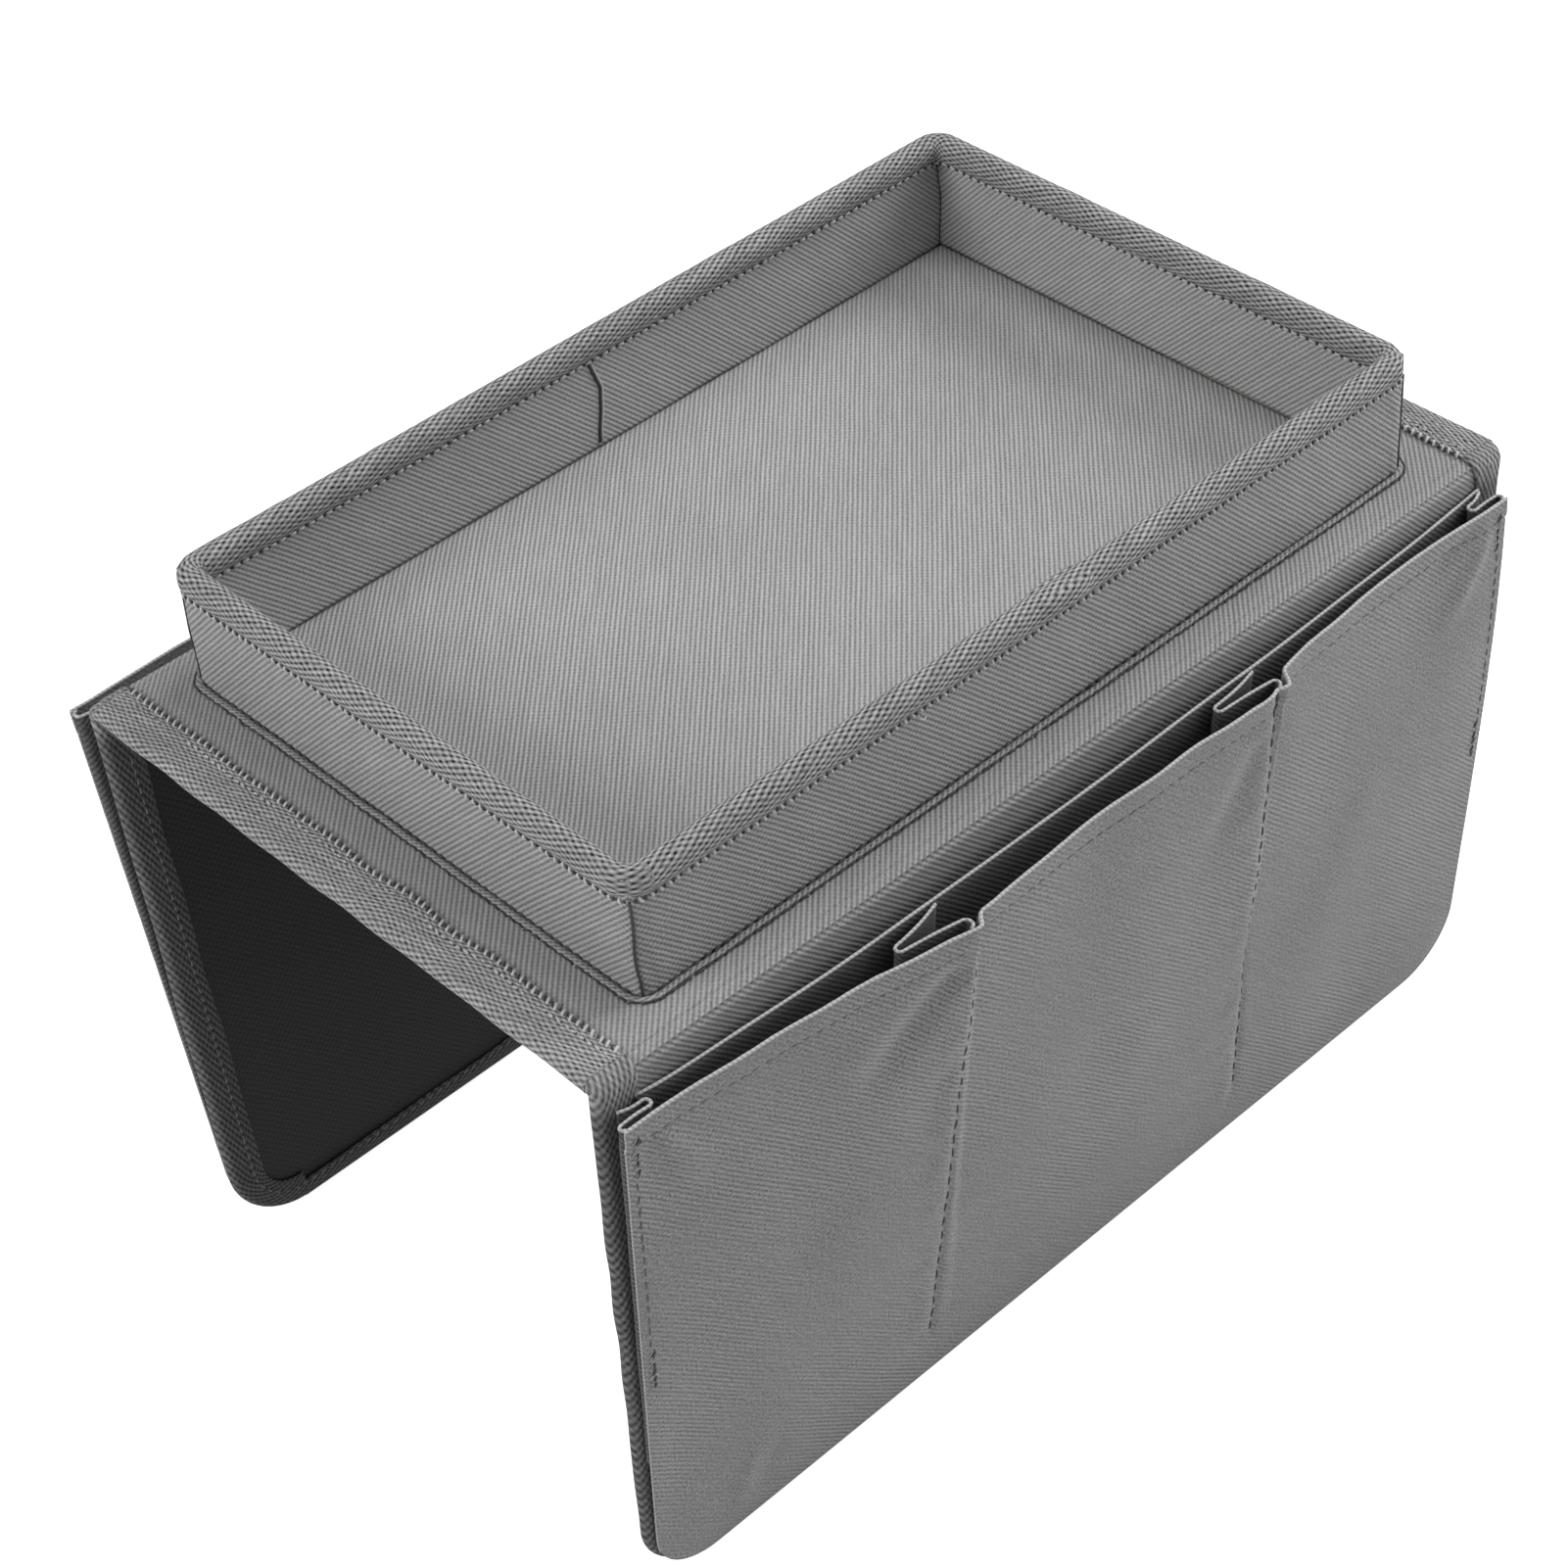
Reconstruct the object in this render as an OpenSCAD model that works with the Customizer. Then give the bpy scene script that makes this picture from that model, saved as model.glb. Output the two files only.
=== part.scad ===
// Sofa arm tray: a cloth saddle with stiff boards sewn into it. The top panel
// carries a shallow tray, and two flaps hang from it down the sides of the arm.
// The front flap has a flat pocket and three bellows pockets, the rear flap a
// flat back and two bellows pockets.
//
// Frame: +X along the sofa arm, -Y towards the front flap, +Z up. The origin is
// the centre of the top panel's underside, which rests on the arm.

/* [Panels] */
// Length of the organizer along the sofa arm
organizer_length = 330; // [280:1:380]
// Width of the top panel between the outsides of the two flaps
top_width = 202; // [190:1:240]
// Height of a flap from the top surface to its bottom edge
flap_drop = 195; // [160:1:240]
// Radius of the flaps' bottom corners
flap_corner_r = 22; // [14:1:40]
// Lean of the front flap towards the arm, degrees
front_lean = 2; // [0:0.5:6]
// Lean of the rear flap towards the arm, degrees
rear_lean = 4; // [0:0.5:6]

/* [Layers] */
// Thickness of the outer cloth
cover_t = 0.8; // [0.6:0.1:1.2]
// Thickness of the stiffening boards in the top panel and the flaps
board_t = 2.2; // [1.5:0.1:3]
// Thickness of the coated lining
lining_t = 0.6; // [0.4:0.1:1]
// Thickness of the binding tape
tape_t = 0.8; // [0.6:0.1:1.2]
// Width of the binding tape on each side of an edge
tape_w = 10; // [8:0.5:12]
// Height of the hem along a flap's bottom edge
hem_w = 7; // [5:0.5:10]
// Distance from a cloth edge to the edge of the board inside it
board_inset = 1.5; // [1:0.1:4]

/* [Tray] */
// Margin of the top panel beyond each end of the tray
tray_end_margin = 26.5; // [14:0.5:40]
// Margin of the top panel beyond each long side of the tray
tray_side_margin = 13.5; // [9:0.5:30]
// Height of the tray's rim above the top panel
tray_height = 39; // [25:1:60]
// Outside radius of the tray's upright corners
tray_corner_r = 6; // [5:0.5:15]
// Thickness of the boards in the tray walls
wall_board_t = 2; // [1.5:0.1:3]
// Thickness of the board under the tray floor
floor_board_t = 1.6; // [1:0.1:3]
// Width of the rim tape on each side of a wall
rim_tape_w = 11; // [8:0.5:14]
// Thickness of the rim tape, whose edges are turned in
rim_tape_t = 1.5; // [1:0.1:2]
// Height that the rim tape stands above the wall that it binds
rim_crown = 1.6; // [1:0.1:3]
// Width of the seam allowance turned out at the foot of the tray
foot_seam_w = 2.2; // [1.5:0.1:3]

/* [Pockets] */
// Distance of the pocket mouths below the top surface
mouth_drop = 8.5; // [7:0.5:20]
// Thickness of the pleated gussets and dividers
pleat_t = 0.5; // [0.4:0.1:0.6]
// Distance of the pocket panels' side edges from the flap's edge
panel_inset = 1.5; // [1:0.1:3]
// Distance that the front panel's right top corner is drawn in by its gusset
mouth_draw_in = 7; // [0:0.5:10]
// Depth of the front panel's mouth at its left edge
front_left_depth = 7; // [5:0.5:12]
// Depth of the front left compartment beside its divider
front_left_step = 19; // [16:0.5:23]
// Depth of the front middle compartment beside its dividers
front_middle_depth = 15.4; // [11:0.2:20]
// How far the front middle compartment's mouth sags
front_middle_sag = 1.6; // [0:0.2:2.4]
// Depth of the front right compartment beside its divider
front_right_step = 10.8; // [10:0.2:16]
// How far the front right compartment's mouth sags
front_right_sag = 2.8; // [0:0.2:3.2]
// Depth of the front panel's mouth at its right edge
front_right_depth = 8; // [7:0.5:12]
// Depth of the rear panel's mouth at its left edge
rear_left_depth = 12; // [6:0.5:16]
// Depth of the rear left compartment beside the divider
rear_left_step = 15; // [12:0.5:20]
// Depth of the rear right compartment beside the divider
rear_right_step = 13; // [10:0.5:16]
// How far the rear right compartment's mouth sags
rear_right_sag = 1.5; // [0:0.1:3]
// Depth of the rear panel's mouth at its right edge
rear_right_depth = 12; // [6:0.5:16]
// Belly of a pocket's cloth halfway down
pocket_belly = 1.5; // [0:0.1:3]
// Gap between a flap and the foot of its pocket panel
panel_foot_gap = 1.2; // [1.1:0.1:2]
// Greatest gap at the mouth of the front flat pocket
flat_gap = 5.2; // [2:0.1:5.5]
// Position of the front flat pocket's fullest point
flat_peak_x = -34; // [-50:1:50]
// Position of the front flap's left divider
divider_left_x = -60; // [-75:1:-45]
// Position of the front flap's right divider
divider_right_x = 57; // [45:1:75]
// Position of the rear flap's divider
rear_divider_x = 0; // [-20:1:20]
// Length of a divider's pleat at the mouth
divider_pleat = 20; // [12:1:24]
// Length of a side gusset's pleat at the mouth
gusset_pleat = 11; // [8:1:14]

/* [Hidden] */

// Cloth colours: lit cloth, cloth in shade, tape, coated lining and hidden board
CLOTH = [0.55, 0.55, 0.55];
SHADE = [0.45, 0.45, 0.45];
TAPE = [0.38, 0.38, 0.38];
LINING = [0.1, 0.1, 0.1];
BOARD = [0.8, 0.76, 0.66];

// Gap on each side of a fold line, between the layers of two panels
fold_gap = 0.3;
// Setback of the tapes' inner legs from a fold, so that they clear it closed
leg_setback = 2.4;
// Clearance of a pleat from the cloth it is sewn to
seam_gap = 0.15;

half_l = organizer_length / 2;
// The layers lie on each other: lining, board, cover
stack_t = lining_t + board_t + cover_t;
// The folds turn about the corner between the two lining faces
hinge_y = top_width / 2 - stack_t;
// Heights in a flap's own frame, which hangs from the fold line at zero
flap_foot_z = stack_t - flap_drop;
corner_z = flap_foot_z + flap_corner_r;
mouth_z = stack_t - mouth_drop;
flap_h = mouth_z - flap_foot_z;

// The tray stands on the top panel inside its margins
tray_length = organizer_length - 2 * tray_end_margin;
tray_width = top_width - 2 * tray_side_margin;
wall_t = 2 * cover_t + wall_board_t;
wall_top_z = stack_t + tray_height - rim_crown;
inner_corner_r = tray_corner_r - wall_t;

// Radius at which a tape's edge wall starts round a fold line
web_setback = 1;

// Grids: columns in each compartment, rows up a panel and up a pleat, columns of
// the flat pocket, and steps round an arc
panel_columns = 9;
panel_rows = 12;
pleat_rows = 8;
flat_columns = 18;
arc_steps = 6;
// Steps round a tray corner, and over the rim tape's round crown
corner_steps = 10;
rim_steps = 12;
// Facets of a full circle on the other arcs and rings
arc_fn = 96;
// Least radius of a corner, and the sharpest mitre that keeps its full width
least_r = 0.1;
least_mitre = 0.5;
// Height of a pleat's foot, where the pocket is deep enough to hold its folds,
// and the share of the pocket's height that it takes at least
pleat_foot_rise = 0.3;
pleat_foot_z = flap_foot_z + max(flap_corner_r, pleat_foot_rise * flap_h);
// Steepness of a pocket's depth from its foot to its mouth
depth_power = 1.1;
// Steepness of the right edge's draw-in from the foot to the mouth
draw_power = 4;
// Roundness of the flat pocket's mouth: a low power keeps it full to its sides
flat_fullness = 0.6;
// Steepness of the flat pocket's opening from its foot to its mouth
flat_depth_power = 2;
// Largest radius of a pleat's fold, and the share of the depth that it may take
pleat_r = 1.2;
pleat_r_share = 0.25;
// Length of a pleat at its foot, as a share of its length at the mouth
pleat_foot_share = 0.65;
// Place of a divider's fold between the cloth behind it and the panel
divider_fold_share = 0.35;
// Distance between a divider's two seams, along the flap
seam_shift = 2;
// Distance of a gusset's inner seam from the pocket's edge
gusset_seam_w = 3;

// Compartments, left to right. Each is its left and right edge, the depth of
// the mouth at those edges, how far the mouth sags in between, and how late its
// depth grows from left to right.
panel_left = panel_inset - half_l;
panel_right = half_l - panel_inset;
late_growth = 1.9;
even_growth = 1;
front_cells = [
    [panel_left, divider_left_x, front_left_depth, front_left_step, 0, late_growth],
    [divider_left_x, divider_right_x, front_middle_depth, front_middle_depth,
     front_middle_sag, even_growth],
    [divider_right_x, panel_right, front_right_step, front_right_depth,
     front_right_sag, even_growth]];
rear_cells = [
    [panel_left, rear_divider_x, rear_left_depth, rear_left_step, 0, even_growth],
    [rear_divider_x, panel_right, rear_right_step, rear_right_depth,
     rear_right_sag, even_growth]];
// Width over which the cloth steps down beside a divider's seam
seam_step = 5;

function mix(a, b, t) = a + (b - a) * t;
function clamp01(t) = min(1, max(0, t));

// Depth of one compartment's cloth at its mouth, a share t of the way across
function cell_mouth(c, t) = mix(c[2], c[3], pow(t, c[5])) - c[4] * sin(180 * t);

// Depth of the pocket cloth in front of the flap, at x and a share s of height
function cell_depth(c, x, s) =
    let (t = clamp01((x - c[0]) / (c[1] - c[0])))
    panel_foot_gap + (cell_mouth(c, t) - panel_foot_gap) * pow(s, depth_power)
        + pocket_belly * sin(180 * t) * sin(180 * s);

// The compartment that holds x
function cell_at(cells, x) =
    let (inside = [for (c = cells) if (x <= c[1]) c])
    len(inside) > 0 ? inside[0] : cells[len(cells) - 1];

// Depth over the whole panel: just right of a divider the cloth steps down
function panel_depth(cells, x, s) =
    let (here = cell_at(cells, x),
         before = cell_at(cells, here[0]),
         blend = here[0] > cells[0][0] ? clamp01((x - here[0]) / seam_step) : 1)
    mix(cell_depth(before, here[0], s), cell_depth(here, x, s), blend);

// Half width of a pocket panel at height z: straight, then the round corner
function panel_half(z) =
    let (r = flap_corner_r - panel_inset, c = corner_z)
    half_l - panel_inset
        - (z < c ? r - sqrt(max(0, r * r - pow(min(r, c - z), 2))) : 0);

// Share of the height at z
function height_share(z) = clamp01((z - flap_foot_z) / flap_h);

// Heights of a panel's rows: close together round the corner, even above it
panel_foot_z = flap_foot_z + panel_inset;
function panel_levels() = concat(
    [for (i = [0 : arc_steps - 1])
        corner_z - (corner_z - panel_foot_z) * cos(90 * i / arc_steps)],
    [for (i = [0 : panel_rows]) mix(corner_z, mouth_z, i / panel_rows)]);

// Positions of the panel's columns, with one close pair at each divider
function panel_columns_x(cells) = concat(
    [for (c = cells) each concat([c[0]],
        c[0] > cells[0][0] ? [c[0] + seam_step] : [],
        [for (i = [1 : panel_columns - 1]) mix(c[0] + seam_step, c[1], i / panel_columns)])],
    [cells[len(cells) - 1][1]]);

// One row of a panel: columns squeezed into the panel's width at that height
function panel_row(cells, z, draw_in) =
    [for (x = panel_columns_x(cells))
        let (s = height_share(z),
             last = cells[len(cells) - 1],
             drawn = draw_in * pow(s, draw_power) * clamp01((x - last[0]) / (last[1] - last[0])))
        [x * panel_half(z) / (half_l - panel_inset) - drawn,
         stack_t + panel_depth(cells, x, s)]];

// Unit vector across a segment, to its left
function across(a, b) = let (d = (b - a) / norm(b - a)) [-d[1], d[0]];

// Sideways shift of point i of an open polyline, mitred between its segments
function mitre(p, i) =
    let (n = len(p),
         u = across(p[max(0, i - 1)], p[i == 0 ? 1 : i]),
         v = across(p[i == n - 1 ? n - 2 : i], p[min(n - 1, i + 1)]),
         m = (u + v) / norm(u + v))
    m / max(least_mitre, m * u);

// A hanging sheet of cloth. rows holds its plan polylines from the foot up, zs
// their heights, and the cloth reaches from near_t to far_t left of each one.
module hanging_sheet(rows, zs, near_t, far_t) {
    n = len(rows[0]);
    m = len(rows);
    near = [for (r = [0 : m - 1], i = [0 : n - 1])
        let (q = rows[r][i] + near_t * mitre(rows[r], i)) [q[0], q[1], zs[r]]];
    far = [for (r = [0 : m - 1], i = [0 : n - 1])
        let (q = rows[r][i] + far_t * mitre(rows[r], i)) [q[0], q[1], zs[r]]];
    k = m * n;
    skins = [for (r = [0 : m - 2], i = [0 : n - 2]) let (a = r * n + i)
        each [[a, a + n, a + n + 1], [a, a + n + 1, a + 1],
              [k + a, k + a + n + 1, k + a + n], [k + a, k + a + 1, k + a + n + 1]]];
    sides = [for (r = [0 : m - 2]) let (a = r * n, b = r * n + n - 1)
        each [[a, k + a, k + a + n], [a, k + a + n, a + n],
              [b, b + n, k + b + n], [b, k + b + n, k + b]]];
    ends = [for (i = [0 : n - 2]) let (b = (m - 1) * n + i)
        each [[i, i + 1, k + i + 1], [i, k + i + 1, k + i],
              [b, k + b + 1, b + 1], [b, k + b, k + b + 1]]];
    polyhedron(points = concat(near, far), faces = concat(skins, sides, ends), convexity = 6);
}

// Places a flap's own frame: x along the arm, y outwards from the lining face
// and z up from the fold line. side is -1 for the front and 1 for the rear.
module on_flap(side) {
    lean = side < 0 ? front_lean : rear_lean;
    if (side < 0)
        mirror([0, 1, 0]) translate([0, hinge_y, 0]) rotate([-lean, 0, 0]) children();
    else
        translate([0, hinge_y, 0]) rotate([-lean, 0, 0]) children();
}

// Flap outline in x and z, drawn inset from the tape's outer edge
module flap_outline(inset, top_gap) {
    r = flap_corner_r - inset;
    w = 2 * (half_l - inset);
    translate([-w / 2, corner_z]) square([w, -top_gap - corner_z]);
    translate([flap_corner_r - half_l, flap_foot_z + inset])
        square([2 * (half_l - flap_corner_r), r]);
    for (s = [-1, 1])
        translate([s * (half_l - flap_corner_r), corner_z]) circle(r = r, $fn = arc_fn);
}

// A flap layer of thickness t whose inner face is at distance y
module flap_layer(y, t, inset, top_gap) {
    translate([0, y + t, 0]) rotate([90, 0, 0]) linear_extrude(t)
        flap_outline(inset, top_gap);
}

// Section of a tape folded over an edge: x is measured inwards from the edge
// and y from the lining face. The inner leg may be shorter than the outer one.
module tape_section(inner_leg, outer_leg) {
    translate([0, -tape_t]) square([tape_t, stack_t + 2 * tape_t]);
    translate([0, -tape_t]) square([inner_leg, tape_t]);
    translate([0, stack_t]) square([outer_leg, tape_t]);
}

// Side tape of a flap: down the edge and round the bottom corner. end is -1 for
// the left end and 1 for the right end.
module flap_side_tape(end) {
    mirror([end > 0 ? 1 : 0, 0, 0]) {
        translate([-half_l, 0, corner_z]) linear_extrude(-leg_setback - corner_z)
            tape_section(tape_w, tape_w);
        translate([-half_l, 0, corner_z]) linear_extrude(-fold_gap - corner_z)
            intersection() {
                tape_section(tape_w, tape_w);
                square([tape_w, stack_t + tape_t]);
            }
        translate([flap_corner_r - half_l, 0, corner_z]) rotate([90, 0, 0])
            mirror([0, 0, 1]) rotate([0, 0, 180]) rotate_extrude(angle = 90, $fn = arc_fn)
                translate([flap_corner_r, 0]) mirror([1, 0]) tape_section(tape_w, tape_w);
    }
}

// Hem along the straight part of a flap's bottom edge
module flap_hem() {
    run = 2 * (half_l - flap_corner_r);
    translate([-run / 2, 0, flap_foot_z]) rotate([90, 0, 90]) linear_extrude(run)
        multmatrix([[0, 1, 0, 0], [1, 0, 0, 0], [0, 0, 1, 0], [0, 0, 0, 1]])
            tape_section(hem_w, hem_w);
}

// Bellows pocket panel from a list of compartments
module pocket_panel(cells, draw_in) {
    zs = panel_levels();
    hanging_sheet([for (z = zs) panel_row(cells, z, draw_in)], zs, 0, cover_t);
}

// Flat pocket: a sheet whose sides and foot lie on the flap, between the tapes
flat_half = half_l - tape_w - seam_gap;
flat_corner_r = flap_corner_r - tape_w - seam_gap;

// How far the flat pocket stands off the flap at x and height z
function flat_gap_at(x, z) =
    let (side = x < flat_peak_x ? -flat_half : flat_half,
         share = clamp01((x - flat_peak_x) / (side - flat_peak_x)))
    flat_gap * pow(clamp01((z - corner_z) / (mouth_z - corner_z)), flat_depth_power)
        * pow(cos(90 * share), flat_fullness);

// Half width of the flat pocket, inside the tape's round corner
function flat_half_at(z) =
    let (drop = min(flat_corner_r, max(0, corner_z - z)))
    flat_half - flat_corner_r + sqrt(pow(flat_corner_r, 2) - drop * drop);

module flat_pocket() {
    zs = concat([flap_foot_z + hem_w],
                [for (i = [0 : arc_steps - 1]) corner_z - flat_corner_r * cos(90 * i / arc_steps)],
                [for (i = [0 : pleat_rows]) mix(corner_z, mouth_z, i / pleat_rows)]);
    rows = [for (z = zs) [for (i = [0 : flat_columns])
        let (share = mix(-1, 1, i / flat_columns))
        [share * flat_half_at(z), stack_t + flat_gap_at(share * flat_half, z)]]];
    hanging_sheet(rows, zs, 0, cover_t);
}

// Plan of a pleat, along the middle of its cloth: a leg from seam a to a round
// fold of radius r at f, and a second leg back to seam b, which lies outside a
function pleat_plan(a, f, b, r) =
    let (dir = f[0] < a[0] ? -1 : 1)
    concat([a],
        [for (i = [0 : arc_steps]) let (q = 180 * i / arc_steps) f + r * [dir * sin(q), -cos(q)]],
        [b]);

// Radius of a pleat's fold in a space of the given depth
function pleat_radius(depth) = max(pleat_t / 2 + seam_gap / 2, min(pleat_r, pleat_r_share * depth));

// Heights of a pleat's rows
function pleat_levels() = [for (i = [0 : pleat_rows]) mix(pleat_foot_z, mouth_z, i / pleat_rows)];

// Divider: a pleat that points left, between the cloth behind it and the panel
module divider(cells, x, has_flat) {
    zs = pleat_levels();
    cloth = seam_gap + pleat_t / 2;
    rows = [for (z = zs)
        let (s = height_share(z),
             inner = stack_t + (has_flat ? flat_gap_at(x, z) + cover_t : 0) + cloth,
             outer = stack_t + panel_depth(cells, x, s) - cloth,
             r = pleat_radius(outer - inner),
             fold_y = mix(inner + r, outer - r, divider_fold_share))
        pleat_plan([x - seam_shift, inner],
                   [x - divider_pleat * mix(pleat_foot_share, 1, s), fold_y],
                   [x - seam_gap, outer], r)];
    hanging_sheet(rows, zs, -pleat_t / 2, pleat_t / 2);
}

// Gusset: a pleat that points inwards, between the side tape and the panel's edge
module gusset(cells, end, draw_in) {
    zs = pleat_levels();
    cloth = seam_gap + pleat_t / 2;
    edge_x = end < 0 ? cells[0][0] : cells[len(cells) - 1][1];
    rows = [for (z = zs)
        let (s = height_share(z),
             x = edge_x - (end > 0 ? draw_in * pow(s, draw_power) : 0),
             inner = stack_t + tape_t + cloth,
             outer = stack_t + panel_depth(cells, edge_x, s) - cloth,
             r = pleat_radius(outer - inner),
             fold_y = mix(inner + r, outer - r, 0.5))
        pleat_plan([x - end * gusset_seam_w, inner],
                   [x - end * gusset_pleat * mix(pleat_foot_share, 1, s), fold_y],
                   [x - end * seam_gap, outer], r)];
    hanging_sheet(rows, zs, -pleat_t / 2, pleat_t / 2);
}

// A quarter ring round a fold line, from the top panel down to the flap
module fold_ring(side, r_in, r_out, x0, length) {
    lean = side < 0 ? front_lean : rear_lean;
    sweep = 90 + lean - asin(fold_gap / r_out);
    mirror([0, side < 0 ? 1 : 0, 0]) translate([x0, hinge_y, 0])
        rotate([90, 0, 90]) rotate([0, 0, 90 - sweep])
            rotate_extrude(angle = sweep, $fn = arc_fn)
                translate([r_in, 0]) square([r_out - r_in, length]);
}

module fold_tapes(side) {
    r_tape = stack_t + tape_t;
    for (end = [-1, 1]) {
        fold_ring(side, stack_t, r_tape, end < 0 ? -half_l : half_l - tape_w, tape_w);
        fold_ring(side, web_setback, r_tape, end < 0 ? -half_l : half_l - tape_t, tape_t);
    }
}

// End tape of the top panel, along Y between the two folds. Its inner leg is
// pressed flush with the lining, so that the underside rests flat.
module end_tape(end) {
    inner_run = 2 * (hinge_y - leg_setback);
    outer_run = 2 * hinge_y;
    x = end < 0 ? -half_l : half_l - tape_w;
    web_x = end < 0 ? -half_l : half_l - tape_t;
    translate([x, -inner_run / 2, 0]) cube([tape_w, inner_run, lining_t]);
    translate([x, -outer_run / 2, stack_t]) cube([tape_w, outer_run, tape_t]);
    translate([web_x, -inner_run / 2, 0]) cube([tape_t, inner_run, stack_t + tape_t]);
    translate([web_x, -outer_run / 2 + fold_gap, fold_gap])
        cube([tape_t, outer_run - 2 * fold_gap, stack_t]);
}

// Rounded rectangle centred on the origin
module rounded_plate(l, w, r) {
    for (sx = [-1, 1], sy = [-1, 1])
        translate([sx * (l / 2 - r), sy * (w / 2 - r)]) circle(r = r, $fn = 4 * corner_steps);
    square([l - 2 * r, w], center = true);
    square([l, w - 2 * r], center = true);
}

// A band of thickness t standing round the tray, its outside inset by d
module tray_band(d, t, z0, z1) {
    r = tray_corner_r - d;
    translate([0, 0, z0]) linear_extrude(z1 - z0) difference() {
        rounded_plate(tray_length - 2 * d, tray_width - 2 * d, r);
        rounded_plate(tray_length - 2 * (d + t), tray_width - 2 * (d + t), max(least_r, r - t));
    }
}

// Section of the rim tape, with x outwards from the middle of the wall: two legs
// joined by a round crown over the wall
rim_half_w = wall_t / 2 + rim_tape_t;
rim_foot_z = wall_top_z - rim_tape_w;
rim_shoulder_z = wall_top_z - rim_crown;
rim_top_z = stack_t + tray_height;
rim_section = concat(
    [for (i = [0 : rim_steps]) let (q = 180 * i / rim_steps)
        [rim_half_w * cos(q), mix(rim_shoulder_z, rim_top_z, sin(q))]],
    [[-rim_half_w, rim_foot_z], [-wall_t / 2, rim_foot_z], [-wall_t / 2, wall_top_z],
     [wall_t / 2, wall_top_z], [wall_t / 2, rim_foot_z], [rim_half_w, rim_foot_z]]);

// Plan of the middle of the tray wall, counterclockwise. Each station is its
// corner's centre and the direction in which the section stands out from it.
function wall_stations() =
    [for (corner = [0 : 3], i = [0 : corner_steps])
        let (sx = corner == 0 || corner == 3 ? 1 : -1, sy = corner < 2 ? 1 : -1)
        [sx * (tray_length / 2 - tray_corner_r), sy * (tray_width / 2 - tray_corner_r),
         90 * (corner + i / corner_steps)]];

// Sweeps a section round the tray as one closed ring
module wall_sweep(section) {
    stations = wall_stations();
    n = len(section);
    m = len(stations);
    wall_r = tray_corner_r - wall_t / 2;
    points = [for (s = stations, q = section)
        [s[0] + (wall_r + q[0]) * cos(s[2]), s[1] + (wall_r + q[0]) * sin(s[2]), q[1]]];
    faces = [for (j = [0 : m - 1], i = [0 : n - 1])
        let (a = j * n + i, b = j * n + (i + 1) % n, c = (j + 1) % m * n)
        each [[a, b, c + (i + 1) % n], [a, c + (i + 1) % n, c + i]]];
    polyhedron(points = points, faces = faces, convexity = 6);
}

// Top panel

module top_layer(z, t, inset) {
    translate([-half_l + inset, -hinge_y + fold_gap, z])
        cube([2 * (half_l - inset), 2 * (hinge_y - fold_gap), t]);
}

module top_cover() {
    color(CLOTH) translate([-half_l + tape_t, -hinge_y, stack_t - cover_t])
        cube([2 * (half_l - tape_t), 2 * hinge_y, cover_t]);
}

module top_board() {
    color(BOARD) top_layer(lining_t, board_t, tape_t + board_inset);
}

module top_lining() {
    color(LINING) top_layer(0, lining_t, tape_w);
}

module left_end_tape() {
    color(TAPE) end_tape(-1);
}

module right_end_tape() {
    color(TAPE) end_tape(1);
}

// Tray

module tray_floor_board() {
    color(BOARD) translate([0, 0, stack_t]) linear_extrude(floor_board_t)
        rounded_plate(tray_length - 2 * wall_t, tray_width - 2 * wall_t, inner_corner_r);
}

module tray_floor_cover() {
    color(CLOTH) translate([0, 0, stack_t + floor_board_t]) linear_extrude(cover_t)
        rounded_plate(tray_length - 2 * wall_t, tray_width - 2 * wall_t, inner_corner_r);
}

module tray_wall_cover() {
    color(CLOTH) {
        tray_band(0, cover_t, stack_t, wall_top_z);
        tray_band(-foot_seam_w, foot_seam_w, stack_t, stack_t + cover_t);
    }
}

module tray_wall_lining() {
    color(SHADE) tray_band(wall_t - cover_t, cover_t, stack_t, wall_top_z);
}

// Board inside one wall: length of the wall between the soft corners
module wall_board(length) {
    translate([-length / 2, 0, 0]) cube([length, wall_board_t, wall_top_z - stack_t]);
}

module tray_front_board() {
    color(BOARD) translate([0, -tray_width / 2 + cover_t, stack_t])
        wall_board(tray_length - 2 * tray_corner_r);
}

module tray_rear_board() {
    color(BOARD) translate([0, tray_width / 2 - cover_t - wall_board_t, stack_t])
        wall_board(tray_length - 2 * tray_corner_r);
}

module tray_left_board() {
    color(BOARD) translate([-tray_length / 2 + cover_t + wall_board_t, 0, stack_t])
        rotate([0, 0, 90]) wall_board(tray_width - 2 * tray_corner_r);
}

module tray_right_board() {
    color(BOARD) translate([tray_length / 2 - cover_t, 0, stack_t])
        rotate([0, 0, 90]) wall_board(tray_width - 2 * tray_corner_r);
}

module tray_rim_tape() {
    color(TAPE) wall_sweep(rim_section);
}

// Folds

module front_fold_cloth() {
    color(CLOTH) fold_ring(-1, stack_t - cover_t, stack_t, tape_t - half_l, 2 * (half_l - tape_t));
}

module front_fold_tapes() {
    color(TAPE) fold_tapes(-1);
}

module rear_fold_cloth() {
    color(CLOTH) fold_ring(1, stack_t - cover_t, stack_t, tape_t - half_l, 2 * (half_l - tape_t));
}

module rear_fold_tapes() {
    color(TAPE) fold_tapes(1);
}

// Layers that both flaps share

module flap_cover(side) {
    color(CLOTH) on_flap(side) flap_layer(lining_t + board_t, cover_t, tape_t, fold_gap);
}

module flap_board(side) {
    color(BOARD) on_flap(side) flap_layer(lining_t, board_t, tape_t + board_inset, fold_gap);
}

module flap_lining(side) {
    color(LINING) on_flap(side) flap_layer(0, lining_t, tape_t, fold_gap);
}

// Front flap

module front_flap_cover() {
    flap_cover(-1);
}

module front_flap_board() {
    flap_board(-1);
}

module front_flap_lining() {
    flap_lining(-1);
}

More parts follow.
